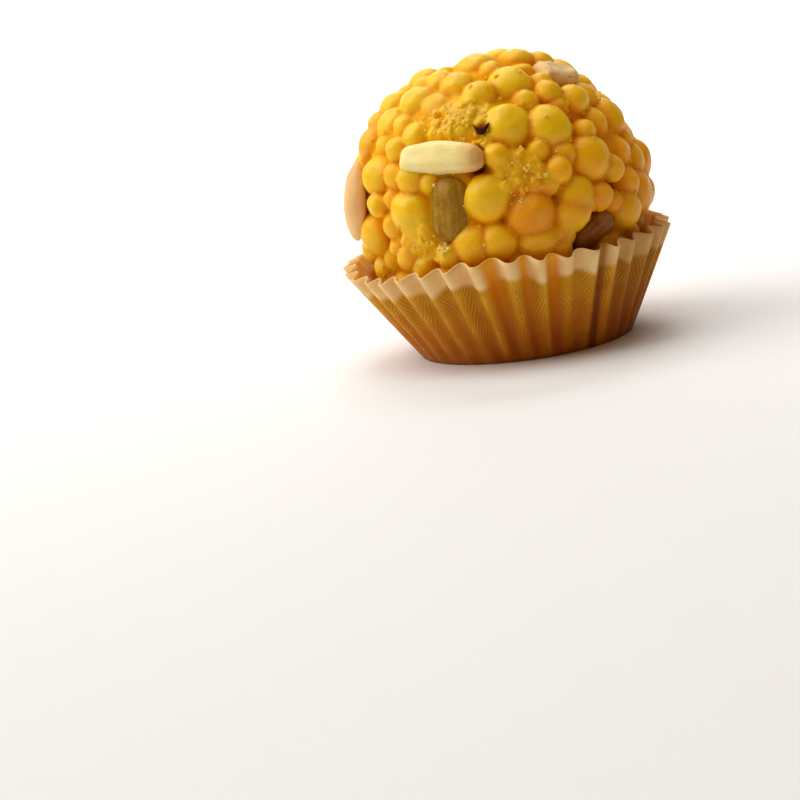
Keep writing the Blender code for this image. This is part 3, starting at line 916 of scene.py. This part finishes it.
bpy.ops.mesh.primitive_ico_sphere_add(subdivisions=6, radius=1)
core = bpy.context.active_object
core_ways = points_of(core.data)
core_ways /= np.linalg.norm(core_ways, axis=1)[:, None]
dips = swelling(core_ways, [(a, e, GAP_DEPTH, 2.6 * radius) for a, e, radius in OPEN_GAPS])
lift = swelling(core_ways, PASTE) * MM - dips
reach = surface_radius(core_ways) - CORE_DEPTH + lift
core_points = core_ways * reach[:, None] + np.array(BALL_MIDDLE)
core.data.vertices.foreach_set("co", core_points.ravel())

only(ball)
core.select_set(True)
lumps.select_set(True)
bpy.ops.object.join()
only(ball)
ball.modifiers.new("Joined", "REMESH")
ball.modifiers["Joined"].mode = "VOXEL"
ball.modifiers["Joined"].voxel_size = VOXEL
softer = ball.modifiers.new("Softer", "SMOOTH")
softer.factor, softer.iterations = 0.5, 2
apply_modifiers(ball)
print("the ball:", len(ball.data.polygons), "faces")

# %% Make the skin uneven, and press its top down to where the solid's is
PRESSED_FROM = 38.0 * MM
TOP_ROOM = 0.25 * MM  # for the crumbs on top

roughen(ball, 3.2 * MM, 0.42 * MM)
roughen(ball, 0.9 * MM, 0.12 * MM)
skin = points_of(ball.data)
high = np.clip(skin[:, 2] - PRESSED_FROM, 0, None)
squash = (SOLID_BOX[1][2] - TOP_ROOM - PRESSED_FROM) / high.max()
skin[:, 2] -= high * (1 - min(1.0, squash))
ball.data.vertices.foreach_set("co", skin.ravel())
print("the top keeps this share of its height:", round(squash, 3))

# %% [markdown]
# ## Pockets
# A nut that is pressed into the ball dents it. A copy of each nut is made a hair smaller, so that the
# nut sits tight, and all of them are cut from the ball in one Boolean, with a block that makes the
# bottom flat. That can leave loose scraps above a nut, so the meshes are parted and only the largest is
# kept. Last, Decimate takes away the faces that the shape doesn't need.

# %% Cut the pockets
POCKET_GAP = -0.03 * MM  # less than nothing, so that each nut sits tight

pockets = bpy.data.collections.new("pockets")
bpy.context.scene.collection.children.link(pockets)
for nut in nuts:
    pocket = nut.copy()
    pocket.data = nut.data.copy()
    bpy.context.scene.collection.objects.link(pocket)
    fitted = pocket.modifiers.new("Fitted", "DISPLACE")
    fitted.strength, fitted.mid_level = POCKET_GAP, 0.0
    apply_modifiers(pocket)
    bpy.context.scene.collection.objects.unlink(pocket)
    pockets.objects.link(pocket)
under = box("under_ball", 2 * BALL_RADIUS, 2 * BALL_RADIUS, BALL_RADIUS)
under.location.z = BALL_BOTTOM - BALL_RADIUS / 2
bpy.ops.object.transform_apply(location=True, rotation=True, scale=True)
for collection in under.users_collection:
    collection.objects.unlink(under)
pockets.objects.link(under)
cut = ball.modifiers.new("Pockets", "BOOLEAN")
cut.operation, cut.solver = "DIFFERENCE", "MANIFOLD"
cut.operand_type, cut.collection = "COLLECTION", pockets
apply_modifiers(ball)
for pocket in list(pockets.objects):
    bpy.data.objects.remove(pocket)
bpy.data.collections.remove(pockets)

# %% Keep the largest body and thin out its faces
MOST_TRIANGLES = 178_000
MEND_ROUNDS = 3

only(ball)
bpy.ops.object.mode_set(mode="EDIT")
bpy.ops.mesh.select_all(action="SELECT")
bpy.ops.mesh.separate(type="LOOSE")
bpy.ops.object.mode_set(mode="OBJECT")
bodies = sorted(bpy.context.selected_objects, key=lambda piece: len(piece.data.vertices))
for scrap in bodies[:-1]:
    bpy.data.objects.remove(scrap)
ball = only(bodies[-1])
ball.name = "boondi_pearls"
triangles = sum(len(face.vertices) - 2 for face in ball.data.polygons)
thinner = ball.modifiers.new("Thinner", "DECIMATE")
thinner.ratio = min(1.0, MOST_TRIANGLES / triangles)
apply_modifiers(ball)
bpy.ops.object.mode_set(mode="EDIT")
bpy.ops.mesh.select_mode(type="VERT")
for _ in range(MEND_ROUNDS):  # where Decimate pinched two sheets together, open the skin and fill it
    bpy.ops.mesh.select_all(action="DESELECT")
    bpy.ops.mesh.select_non_manifold()
    bpy.ops.mesh.delete(type="VERT")
    bpy.ops.mesh.select_non_manifold()
    bpy.ops.mesh.fill_holes(sides=0)
    bpy.ops.mesh.quads_convert_to_tris()
bpy.ops.mesh.select_all(action="SELECT")
bpy.ops.mesh.normals_make_consistent(inside=False)
bpy.ops.object.mode_set(mode="OBJECT")
bpy.ops.object.shade_smooth_by_angle(angle=math.radians(70))
print(len(bodies) - 1, "scraps dropped")
print("from", triangles, "triangles to", len(ball.data.polygons), "faces")

# %% [markdown]
# ## What the finish needs to know
# Each pearl was fried a little lighter or darker, and the gaps between pearls are painted deeper in
# colour: partly syrup, partly painted shade.
# A texture can't know where a gap is, but the places of the pearls tell it. So each point of the skin
# is given numbers that the material reads: its pearl's tint, how near it is to a joint between two
# pearls, how far it is from any pearl, and how deep it lies.

# %% Give every point its numbers
LEMON_PEARLS = ((13, 56), (28, 1), (26, -4), (54, -9), (-8, 7), (24, 31), (5, 35))  # paler
ORANGE_PEARLS = ((8, -2),)  # fried longer, and darker by painted shade from the paste above
DEEPEST = 3.4 * MM  # depth that counts as wholly sunk
JOINT_WIDTH = 0.45 * MM
SYRUP_AND_SHADE_SIDE = heading(75, -35)  # where the syrup sank, and the side in painted shade

tints = np.random.default_rng(5).uniform(0.2, 0.85, len(pearls))
for number, (azimuth, elevation, _) in enumerate(FRONT_PEARLS):
    if (azimuth, elevation) in LEMON_PEARLS:
        tints[number] = 0.05
    if (azimuth, elevation) in ORANGE_PEARLS:
        tints[number] = 0.95


def depth_of(points):
    """How far each point lies under the pearls' tops, as a share of the deepest."""
    from_middle = points - np.array(BALL_MIDDLE)
    far = np.linalg.norm(from_middle, axis=1)
    return np.clip((surface_radius(from_middle / far[:, None]) - far) / DEEPEST, 0, 1)


def syrup_and_shade_of(points):
    """How much syrup has sunk to each point, and how much painted shade it gets: 0 at the top left and
    1 at the bottom right.
    """
    from_middle = points - np.array(BALL_MIDDLE)
    ways = from_middle / np.linalg.norm(from_middle, axis=1)[:, None]
    return 0.5 + 0.5 * ways @ np.array(SYRUP_AND_SHADE_SIDE)


skin = points_of(ball.data)
owner, nearest, second = nearest_pearls(skin)
crease = np.exp(-(((second - nearest) / JOINT_WIDTH) ** 2))
paste = np.clip((nearest - 0.15 * MM) / (0.5 * MM), 0, 1)
give(ball, "tint", tints[owner])
# joints between two pearls, which the finish colours with syrup and painted shade
give(ball, "crease", crease * (1 - paste))
give(ball, "paste", paste)
skin_ways = skin - np.array(BALL_MIDDLE)
skin_ways /= np.linalg.norm(skin_ways, axis=1)[:, None]
bed_share = np.clip(swelling(skin_ways, [(a, e, 1.0, r * 2.4) for a, e, r in CRUMB_BEDS]), 0, 1)
# depth, which the finish turns into painted shade
give(ball, "sunk", depth_of(skin) * (1 - 0.45 * bed_share))
# sunk syrup, and painted shade on the side away from the key lamp
give(ball, "syrup", syrup_and_shade_of(skin))
print("share of the skin that is paste:", round(float(paste.mean()), 2))

# %% [markdown]
# ## The finish of the pearls
# Syrup-soaked gram flour is golden, satin and slightly see-through: light goes in, and comes out more
# orange. Subsurface scattering does that. The colour is a ramp over each pearl's tint, with fine
# mottling. Syrup gathers in the depths between pearls, and shade falls there, so the colour is
# multiplied by a second ramp that turns to deep orange and then to red-brown as the skin lies deeper:
# partly syrup, partly painted shade.


# %% Mix the boondi finish
def boondi_finish(name, light_share, light_depth):
    """Soaked gram flour, with the share of light that enters it and how deep that goes."""
    made, tree, shader = new_material(name)
    base = ramp(tree, attribute(tree, "tint"), (
        (0.0, colour(252, 212, 10)),
        (0.3, colour(254, 206, 10)),
        (0.7, colour(254, 196, 8)),
        (0.92, colour(250, 182, 6)),
        (1.0, colour(222, 134, 2)),
    ))
    base = mixed(tree, spots(tree, 1.9 * MM, 0.40, 0.68, 0.30), base, colour(255, 216, 40))
    base = mixed(tree, spots(tree, 0.35 * MM, 0.38, 0.75, 0.35), base, colour(244, 178, 2))
    in_paste = calc(tree, "MULTIPLY", attribute(tree, "paste"), 0.5)
    base = mixed(tree, in_paste, base, colour(250, 188, 8))
    # painted shade, with some syrup: darker and redder the deeper the skin lies between the pearls
    deeper = ramp(tree, attribute(tree, "sunk"), (
        (0.30, grey(1.0)),
        (0.55, (0.88, 0.72, 0.50, 1.0)),
        (0.75, (0.70, 0.40, 0.15, 1.0)),
        (1.0, (0.32, 0.08, 0.01, 1.0)),
    ))
    base = mixed(tree, 1.0, base, deeper, "MULTIPLY")
    # painted shade, with sunk syrup: darker towards the bottom right, away from the key lamp
    soaked = ramp(tree, attribute(tree, "syrup"), (
        (0.25, grey(1.0)),
        (0.65, (0.98, 0.87, 0.6, 1.0)),
        (1.0, (0.80, 0.58, 0.3, 1.0)),
    ))
    base = mixed(tree, 1.0, base, soaked, "MULTIPLY")
    # painted shade, with syrup: the joints between two pearls turn deeper orange
    joint = calc(tree, "MULTIPLY", attribute(tree, "crease"), 0.5)
    base = mixed(tree, joint, base, colour(220, 112, 0))
    tree.links.new(base, shader.inputs["Base Color"])
    gloss = ramp(tree, speckle(tree, 1.2 * MM), ((0.3, grey(0.28)), (0.7, grey(0.48))))
    dull = ramp(tree, attribute(tree, "sunk"), ((0.3, grey(0)), (0.6, grey(1))))
    tree.links.new(mixed(tree, dull, gloss, grey(0.85)), shader.inputs["Roughness"])
    shine = ramp(tree, attribute(tree, "sunk"), ((0.3, grey(0.30)), (0.6, grey(0.08))))
    tree.links.new(shine, shader.inputs["Specular IOR Level"])
    see_through(shader, light_share, light_depth, (1.0, 0.40, 0.06))
    bump(tree, shader, speckle(tree, 0.32 * MM, 4.0), 0.05 * MM, 0.7)
    return made


ball.data.materials.clear()
ball.data.materials.append(boondi_finish("boondi_skin", 0.8, 1.1 * MM))
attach(ball, "root")
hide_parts("boondi_ball")

# %% [markdown]
# ## Crumbs
# Broken pearls leave crumbs from dust to a millimetre across. They fill the beds and lie in the gaps. A
# crumb is a coarse ball with its points moved a little, and thousands of copies are spread over the
# skin by chance, with more where a gap or a bed is. Each sits half sunk, so that none seems to float.

# %% Weigh each face of the skin
HIDDEN_BELOW = 9.0 * MM  # what is lower than this is out of sight in the case

areas =np.empty(len(ball.data.polygons))
ball.data.polygons.foreach_get("area", areas)
centres = np.empty(len(areas) * 3)
ball.data.polygons.foreach_get("center", centres)
centres = centres.reshape(-1, 3)
normals = np.empty(len(areas) * 3)
ball.data.polygons.foreach_get("normal", normals)
normals = normals.reshape(-1, 3)
one_corner = np.array([face.vertices[0] for face in ball.data.polygons])
from_middle = centres - np.array(BALL_MIDDLE)
face_ways = from_middle / np.linalg.norm(from_middle, axis=1)[:, None]
in_bed = swelling(face_ways, [(a, e, 1.0, r * 2.2) for a, e, r in CRUMB_BEDS])
in_sight = centres[:, 2] > HIDDEN_BELOW
outward = (normals * face_ways).sum(axis=1) > 0.2
shallow = depth_of(centres) < 0.75
likely = areas * in_sight * outward * shallow * (
    0.012 + 0.35 * crease[one_corner] + 1.1 * in_bed * (0.2 + paste[one_corner])
)
print("faces that may hold a crumb:", int((likely > 0).sum()))

# %% Spread the crumbs
CRUMBS = 1500
CRUMB_SIZES = (0.16 * MM, 0.55 * MM)  # radius

chance = np.random.default_rng(8)
crumb_places = []
for face in chance.choice(len(areas), CRUMBS, p=likely / likely.sum()):
    size = CRUMB_SIZES[0] + (CRUMB_SIZES[1] - CRUMB_SIZES[0]) * chance.uniform(0, 1) ** 2.5
    squeezed = size * chance.uniform(0.75, 1.25, 3)
    middle = Vector(centres[face]) + Vector(normals[face]) * size * chance.uniform(-0.8, -0.3)
    crumb_places.append(
        Matrix.Translation(middle) @ random_turn(chance) @ Matrix.Diagonal((*squeezed, 1.0))
    )
bpy.ops.mesh.primitive_ico_sphere_add(subdivisions=2, radius=1)
crumb = bpy.context.active_object
pull(crumb, (0.1, 0.2, 1), 1.0, (0.1, 0, -0.3))
crumbs = copies(crumb, crumb_places, "boondi_crumbs")
crumb_points = len(crumbs.data.vertices) // CRUMBS
give(crumbs, "tint", np.repeat(chance.uniform(0.5, 0.98, CRUMBS), crumb_points))
# depth for a weaker painted shade on the crumbs than on the skin
give(crumbs, "sunk", depth_of(points_of(crumbs.data)) * 0.6)
# the same painted shade towards the bottom right as on the skin
give(crumbs, "syrup", syrup_and_shade_of(points_of(crumbs.data)))
crumbs.data.materials.append(boondi_finish("boondi_crumb", 0.15, 0.2 * MM))
only(crumbs)
bpy.ops.object.shade_smooth()
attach(crumbs, "root")
print(CRUMBS, "crumbs,", len(crumbs.data.polygons), "faces")

# %% [markdown]
# ## Sugar and clove
# Syrup leaves small crystals behind that glitter, and a clove's husk has stuck to the front. A crystal
# is a bevelled box. The husk is a flat cup whose rim has two torn horns.

# %% Scatter the sugar crystals
CRYSTALS = 60
CRYSTAL_SIZES = (0.10 * MM, 0.22 * MM)
SUGAR_HEAPS = (  # azimuth, elevation, radius in mm, grains
    (-27, -10, 0.9, 26),
    (-92, 25, 0.6, 12),
    (16, 11, 0.5, 6),
    (9, 15, 0.6, 7),
    (-28, 13, 0.4, 4),
    (-18, 4, 0.6, 7),
    (5, 4, 0.3, 3),
)


def crystal_place(middle):
    size = chance.uniform(*CRYSTAL_SIZES) * 2 * chance.uniform(0.7, 1.3, 3)
    return Matrix.Translation(middle) @ random_turn(chance) @ Matrix.Diagonal((*size, 1.0))


crystal_places = []
for face in chance.choice(len(areas), CRYSTALS, p=likely / likely.sum()):
    crystal_places.append(
        crystal_place(Vector(centres[face]) + Vector(normals[face]) * CRYSTAL_SIZES[0] * 0.6)
    )
for azimuth, elevation, radius, grains in SUGAR_HEAPS:
    way = np.array(heading(azimuth, elevation))
    apart = np.linalg.norm(face_ways - way, axis=1) * BALL_RADIUS
    near = np.flatnonzero((apart < radius * MM) & outward)
    for face in chance.choice(near, grains):
        lift = CRYSTAL_SIZES[0] * chance.uniform(0.3, 2.2)
        crystal_places.append(crystal_place(Vector(centres[face]) + Vector(normals[face]) * lift))
crystal = box("crystal", 1, 1, 1)
bevel_edges(crystal, 0.16, 1)
crystals = copies(crystal, crystal_places, "sugar_crystals")
made, tree, shader = new_material("sugar")
base = mixed(tree, spots(tree, 0.7 * MM, 0.3, 0.7), colour(255, 232, 130), colour(252, 210, 80))
tree.links.new(base, shader.inputs["Base Color"])
shader.inputs["Roughness"].default_value = 0.14
see_through(shader, 0.2, 0.2 * MM, (1.0, 0.7, 0.35))
bump(tree, shader, speckle(tree, 0.3 * MM), 0.03 * MM, 0.5)
crystals.data.materials.append(made)
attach(crystals, "root")
print(len(crystal_places), "crystals")

# %% Tear the clove's husk
HUSK = (-7, 32, (2.1, 1.5, 1.1))  # azimuth, elevation, (length, width, height) in mm

bpy.ops.mesh.primitive_cylinder_add(vertices=10, radius=0.42, depth=1)
husk = bpy.context.active_object
husk.name = "clove_husk"
bpy.ops.object.mode_set(mode="EDIT")
bpy.ops.mesh.select_mode(type="FACE")
for side in (-1, 1):
    bpy.ops.mesh.select_all(action="DESELECT")
    bm = bmesh.from_edit_mesh(husk.data)
    for face in bm.faces:
        middle = face.calc_center_median()
        face.select_set(abs(middle.z) < 0.1 and 0.15 < middle.x * side < 0.35 and middle.y > 0.1)
    bmesh.update_edit_mesh(husk.data)
    for reach, narrower in ((0.12, 0.75), (0.14, 0.40)):
        bpy.ops.mesh.extrude_region_move(
            TRANSFORM_OT_translate={"value": (side * reach, reach * 2.2, 0)}
        )
        bpy.ops.transform.resize(value=(narrower, narrower, narrower))
bpy.ops.object.mode_set(mode="OBJECT")
subdivide(husk, 2)
azimuth, elevation, sizes = HUSK
way = heading(azimuth, elevation)
only(husk)
husk.matrix_world = placed(way, radius_towards(way) - 1.0 * MM, 0.0, [size * MM for size in sizes])
bpy.ops.object.transform_apply(location=True, rotation=True, scale=True)
bpy.ops.object.shade_smooth()
made, tree, shader = new_material("clove")
base = mixed(tree, spots(tree, 0.5 * MM, 0.3, 0.7), colour(40, 10, 2), colour(74, 24, 4))
tree.links.new(base, shader.inputs["Base Color"])
shader.inputs["Roughness"].default_value = 0.7
shader.inputs["Specular IOR Level"].default_value = 0.15
bump(tree, shader, speckle(tree, 0.2 * MM), 0.03 * MM, 0.6)
husk.data.materials.append(made)
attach(husk, "root")
print("husk:", len(husk.data.polygons), "faces")

# %% [markdown]
# ## The paper case
# The case is a round sheet pressed between two fluted dies: a flat base and a wall that fans out in
# pleats. A circle is extruded upwards and widened row by row, which is how the die shapes the sheet.
# The pleats are a wave round the wall, and a wave is written more exactly than it can be dragged. Last,
# Solidify gives the sheet a thin wall whose inner face wears the unprinted paper.

# %% Numbers of the case
PAPER = 0.18 * MM
CASE_BASE_RADIUS = 17.0 * MM
CASE_RIM_RADIUS = 25.2 * MM
CASE_HEIGHT = 16.3 * MM
CASE_LEAN = -1.3 * MM
FLUTES = 36
FLUTE_DEPTH = 0.92 * MM
ROUNDER = 0.05  # share of a third wave that makes ridges and folds rounder
SCALLOP = 0.40 * MM
COLUMNS = FLUTES * 14
WALL_ROWS = 26
RIM_WAVES = (  # azimuth, extra height, width in degrees
    (-58, -1.3 * MM, 24),
    (-8, 0.6 * MM, 16),
    (110, 0.5 * MM, 30),
    (-160, -0.6 * MM, 30),
)


def rim_height(turn):
    """How high the rim stands at that azimuth, before its scallops."""
    height = CASE_HEIGHT
    for azimuth, extra, width in RIM_WAVES:
        apart = (math.degrees(turn) - azimuth + 180) % 360 - 180
        height += extra * math.exp(-((apart / width) ** 2))
    return height


pleats = np.random.default_rng(4)
flute_size = 1 + pleats.uniform(-0.16, 0.08, FLUTES)
flute_shift = pleats.uniform(-0.16, 0.16, FLUTES)
flute_rim = pleats.uniform(-0.30, 0.16, FLUTES) * MM


def between_flutes(values, turn):
    """A value for each flute, blended smoothly from one to the next."""
    place = (turn / (2 * math.pi) * FLUTES) % FLUTES
    number = int(place)
    share = place - number
    share = share * share * (3 - 2 * share)
    return values[number] * (1 - share) + values[(number + 1) % FLUTES] * share


def case_point(turn, rise):
    """A point of the wall, at an angle round the case and a share of its height."""
    radius = CASE_BASE_RADIUS + (CASE_RIM_RADIUS - CASE_BASE_RADIUS) * rise
    uneven = 0.020 * math.sin(5 * turn) + 0.014 * math.sin(11 * turn + 1)
    deeper = (1 + 0.22 * math.sin(4 * turn + 2)) * between_flutes(flute_size, turn)
    phase = FLUTES * turn + between_flutes(flute_shift, turn) * rise * 2
    wave = math.cos(phase) - ROUNDER * math.cos(3 * phase)
    reach = radius + FLUTE_DEPTH * rise**0.8 * deeper * wave
    angle = turn + uneven * rise
    top = rim_height(turn) - SCALLOP * wave + between_flutes(flute_rim, turn) * rise
    x = reach * math.sin(angle) + CASE_LEAN * rise
    return Vector((x, -reach * math.cos(angle), top * rise))


# %% Extrude the sheet
bpy.ops.mesh.primitive_circle_add(vertices=COLUMNS, radius=CASE_BASE_RADIUS, fill_type="NOTHING")
case = bpy.context.active_object
case.name = "pleated_case"
bpy.ops.object.mode_set(mode="EDIT")
bpy.ops.mesh.select_mode(type="EDGE")
bpy.ops.mesh.select_all(action="SELECT")
widening = CASE_RIM_RADIUS / CASE_BASE_RADIUS - 1
for row in range(1, WALL_ROWS + 1):
    wider = (1 + widening * row / WALL_ROWS) / (1 + widening * (row - 1) / WALL_ROWS)
    bpy.ops.mesh.extrude_region_move(
        TRANSFORM_OT_translate={"value": (0, 0, CASE_HEIGHT / WALL_ROWS)}
    )
    bpy.ops.transform.resize(value=(wider, wider, 1))
bpy.ops.object.mode_set(mode="OBJECT")
print("the sheet:", len(case.data.polygons), "faces")

# %% Close the base
BASE_RINGS = ((0.97, 0.35), (0.86, 0.0), (0.45, 0.0))  # share of the radius, depth of the creases

only(case)
bpy.ops.object.mode_set(mode="EDIT")
bpy.ops.mesh.select_mode(type="EDGE")
bpy.ops.mesh.select_all(action="DESELECT")
bm = bmesh.from_edit_mesh(case.data)
for edge in bm.edges:
    edge.select_set(all(vertex.co.z < 0.01 * MM for vertex in edge.verts))
bmesh.update_edit_mesh(case.data)
inner = 1.0
for share, _ in BASE_RINGS:
    bpy.ops.mesh.extrude_region_move()
    bpy.ops.transform.resize(value=(share / inner, share / inner, 1))
    inner = share
bpy.ops.mesh.edge_face_add()
bpy.ops.mesh.select_all(action="SELECT")
bpy.ops.mesh.normals_make_consistent(inside=False)
bpy.ops.object.mode_set(mode="OBJECT")

# %% Lay out the print, then pleat the wall
MOTIFS = 17  # leaves printed round the wall

flat = points_of(case.data)
turns = np.arctan2(flat[:, 0], -flat[:, 1]) % (2 * math.pi)
rises = flat[:, 2] / CASE_HEIGHT
print_map = case.data.uv_layers.new(name="print")
for face in case.data.polygons:
    first = turns[face.vertices[0]]
    for loop in face.loop_indices:
        vertex = case.data.loops[loop].vertex_index
        turn = turns[vertex]
        turn += 2 * math.pi * round((first - turn) / (2 * math.pi))
        print_map.data[loop].uv = (turn / (2 * math.pi) * MOTIFS, rises[vertex])
for vertex, turn, rise in zip(case.data.vertices, turns, rises):
    if rise > 0:
        vertex.co = case_point(turn, rise)
    else:
        share = math.hypot(vertex.co.x, vertex.co.y) / CASE_BASE_RADIUS
        crease_height = dict(BASE_RINGS).get(round(share, 2), 0.0)
        vertex.co.z = crease_height * 0.2 * MM * (1 + math.cos(FLUTES * turn))
print("rim height in mm:", round(max(v.co.z for v in case.data.vertices) / MM, 1))

# %% Soak and thicken the paper
SOAKED = (  # azimuth, half width in degrees, share: grease has made the paper clear
    (-6, 2.7, 0.9),
    (4, 2.2, 0.9),
    (14.5, 3.3, 0.9),
    (-74, 2.0, 0.6),
    (96, 2.6, 0.9),
    (128, 2.0, 0.7),
    (171, 3.0, 0.9),
    (-150, 2.2, 0.8),
    (-118, 2.8, 0.9),
)
# Darker strips: partly grease, and partly painted shade in a deep fold and on the shaded right side.
DARKENED = ((34, 3.4, 1.0), (62, 22, 0.6), (-128, 14, 0.4))  # the same, for darker strips
SOAK_EDGE = 1.4  # degrees over which a stain or painted shade fades


def stains_and_shade(places):
    """How strongly each point of the sheet is stained or painted in shade."""
    total = np.zeros(len(turns))
    for azimuth, half_width, share in places:
        apart = np.abs((np.degrees(turns) - azimuth + 180) % 360 - 180)
        edge = SOAK_EDGE * max(1.0, half_width / 4)
        total = np.maximum(total, share * np.clip((half_width - apart) / edge, 0, 1))
    return total


give(case, "soaked", stains_and_shade(SOAKED))
give(case, "darkened", stains_and_shade(DARKENED))
# how near a ridge each point is, for the painted shade in the folds
give(case, "ridge", np.array([0.5 + 0.5 * math.cos(FLUTES * turn) for turn in turns]))
wall = case.modifiers.new("Paper", "SOLIDIFY")
wall.thickness, wall.offset = PAPER, -1
wall.material_offset = 1
wall.material_offset_rim = 1
apply_modifiers(case)
print("the case:", len(case.data.polygons), "faces")

# %% [markdown]
# ## The print on the case
# The paper is cream in a band below the rim, with a wavy lower border. Below it is a gold ground, with
# fine veins that fan out from a midrib, as on a leaf. Both follow the wall, so they are worked out from
# the sheet's own map: one unit across is one leaf, and one unit up is the wall's height.

# %% Print the paper
BAND_FROM = 0.800  # share of the height at which the cream band starts
BAND_WAVE = 0.030
BAND_EDGE = 20.0  # the higher, the sharper its border
VEINS = 16.0  # over the wall's height
VEIN_SLOPE = 1.15
VEIN_WIDTH = 0.34
VEIN_WAVER = 0.20


def paper_finish():
    made, tree, shader = new_material("printed_paper")
    layout = tree.nodes.new("ShaderNodeUVMap")
    layout.uv_map = "print"
    split = tree.nodes.new("ShaderNodeSeparateXYZ")
    tree.links.new(layout.outputs["UV"], split.inputs["Vector"])
    u, v = split.outputs["X"], split.outputs["Y"]

    from_rib = calc(tree, "ABSOLUTE", calc(tree, "SUBTRACT", calc(tree, "FRACT", u), 0.5))
    waver = calc(tree, "MULTIPLY", speckle(tree, 4.0 * MM, 1.5), VEIN_WAVER)
    slanted = calc(tree, "ADD", v, calc(tree, "MULTIPLY", from_rib, VEIN_SLOPE))
    bent = calc(tree, "ADD", slanted, waver)
    stripe = calc(tree, "FRACT", calc(tree, "MULTIPLY", bent, VEINS))
    middle = calc(tree, "ABSOLUTE", calc(tree, "SUBTRACT", stripe, 0.5))
    vein = calc(tree, "SUBTRACT", 1.0, calc(tree, "DIVIDE", middle, VEIN_WIDTH), clamp=True)
    rib = calc(tree, "SUBTRACT", 1.0, calc(tree, "DIVIDE", from_rib, 0.035), clamp=True)
    worn = calc(tree, "MULTIPLY", spots(tree, 2.2 * MM, 0.25, 0.62), 0.8)
    drawn = calc(tree, "MULTIPLY", calc(tree, "MAXIMUM", vein, rib), worn)

    # darker and browner towards the bottom: partly grease, partly painted shade
    ground = ramp(tree, v, (
        (0.0, colour(156, 70, 0)),
        (0.35, colour(190, 106, 0)),
        (0.8, colour(204, 146, 8)),
    ))
    ground = mixed(tree, spots(tree, 4.0 * MM, 0.35, 0.75, 0.5), ground, colour(182, 108, 0))
    # the veins also darken towards the bottom: partly grease, partly painted shade
    lines = ramp(tree, v, ((0.1, colour(214, 142, 14)), (0.8, colour(240, 194, 66))))
    gold = mixed(tree, drawn, ground, lines)

    cream = mixed(tree, spots(tree, 3.0 * MM, 0.3, 0.7), colour(250, 216, 156),
                  colour(236, 194, 128))
    wave = calc(tree, "COSINE", calc(tree, "MULTIPLY", u, 2 * math.pi))
    border = calc(tree, "ADD", calc(tree, "MULTIPLY", wave, BAND_WAVE), BAND_FROM)
    above = calc(tree, "MULTIPLY", calc(tree, "SUBTRACT", v, border), BAND_EDGE)
    in_band = calc(tree, "ADD", above, 0.5, clamp=True)
    printed = mixed(tree, in_band, gold, cream)
    # painted shade: the folds between the ridges are darker
    fold_shade = calc(tree, "SUBTRACT", 0.45, calc(tree, "MULTIPLY", attribute(tree, "ridge"), 0.45))
    printed = mixed(tree, fold_shade, printed, (0.76, 0.62, 0.46, 1.0), "MULTIPLY")
    # grease, darker towards the bottom: partly grease, partly painted shade
    grease = ramp(tree, v, ((0.2, colour(160, 76, 0)), (0.75, colour(220, 128, 0)),
                            (1.0, colour(244, 172, 24))))
    printed = mixed(tree, attribute(tree, "soaked"), printed, grease)
    # painted shade and grease in the darker strips
    brown = (0.50, 0.34, 0.12, 1.0)
    printed = mixed(tree, attribute(tree, "darkened"), printed, brown, "MULTIPLY")
    tree.links.new(printed, shader.inputs["Base Color"])
    gloss = mixed(tree, in_band, grey(0.55), grey(0.68))
    tree.links.new(gloss, shader.inputs["Roughness"])
    shader.inputs["Specular IOR Level"].default_value = 0.15
    see_through(shader, 0.2, 0.5 * MM, (1.0, 0.7, 0.4))
    bump(tree, shader, speckle(tree, 0.35 * MM, 4.0), 0.03 * MM, 0.5)
    return made


def plain_paper_finish():
    made, tree, shader = new_material("plain_paper")
    base = mixed(tree, spots(tree, 3.0 * MM, 0.3, 0.7), colour(240, 218, 180),
                 colour(228, 198, 152))
    stain = calc(tree, "MULTIPLY", attribute(tree, "soaked"), 0.7)
    base = mixed(tree, stain, base, colour(214, 150, 50))
    tree.links.new(base, shader.inputs["Base Color"])
    shader.inputs["Roughness"].default_value = 0.6
    see_through(shader, 0.2, 0.5 * MM, (1.0, 0.7, 0.4))
    bump(tree, shader, speckle(tree, 0.35 * MM, 4.0), 0.03 * MM, 0.5)
    return made


case.data.materials.append(paper_finish())
case.data.materials.append(plain_paper_finish())
only(case)
bpy.ops.object.shade_smooth()
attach(case, "root")
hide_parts("paper_case")

# %% [markdown]
# The finished model must not be larger than the solid one. Both boxes are written down, to compare.

# %% Write both boxes and finish
finished_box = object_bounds()
for name, corners in (("solid", SOLID_BOX), ("finished", finished_box)):
    print(name, "box in mm:", [[round(value / MM, 2) for value in corner] for corner in corners])
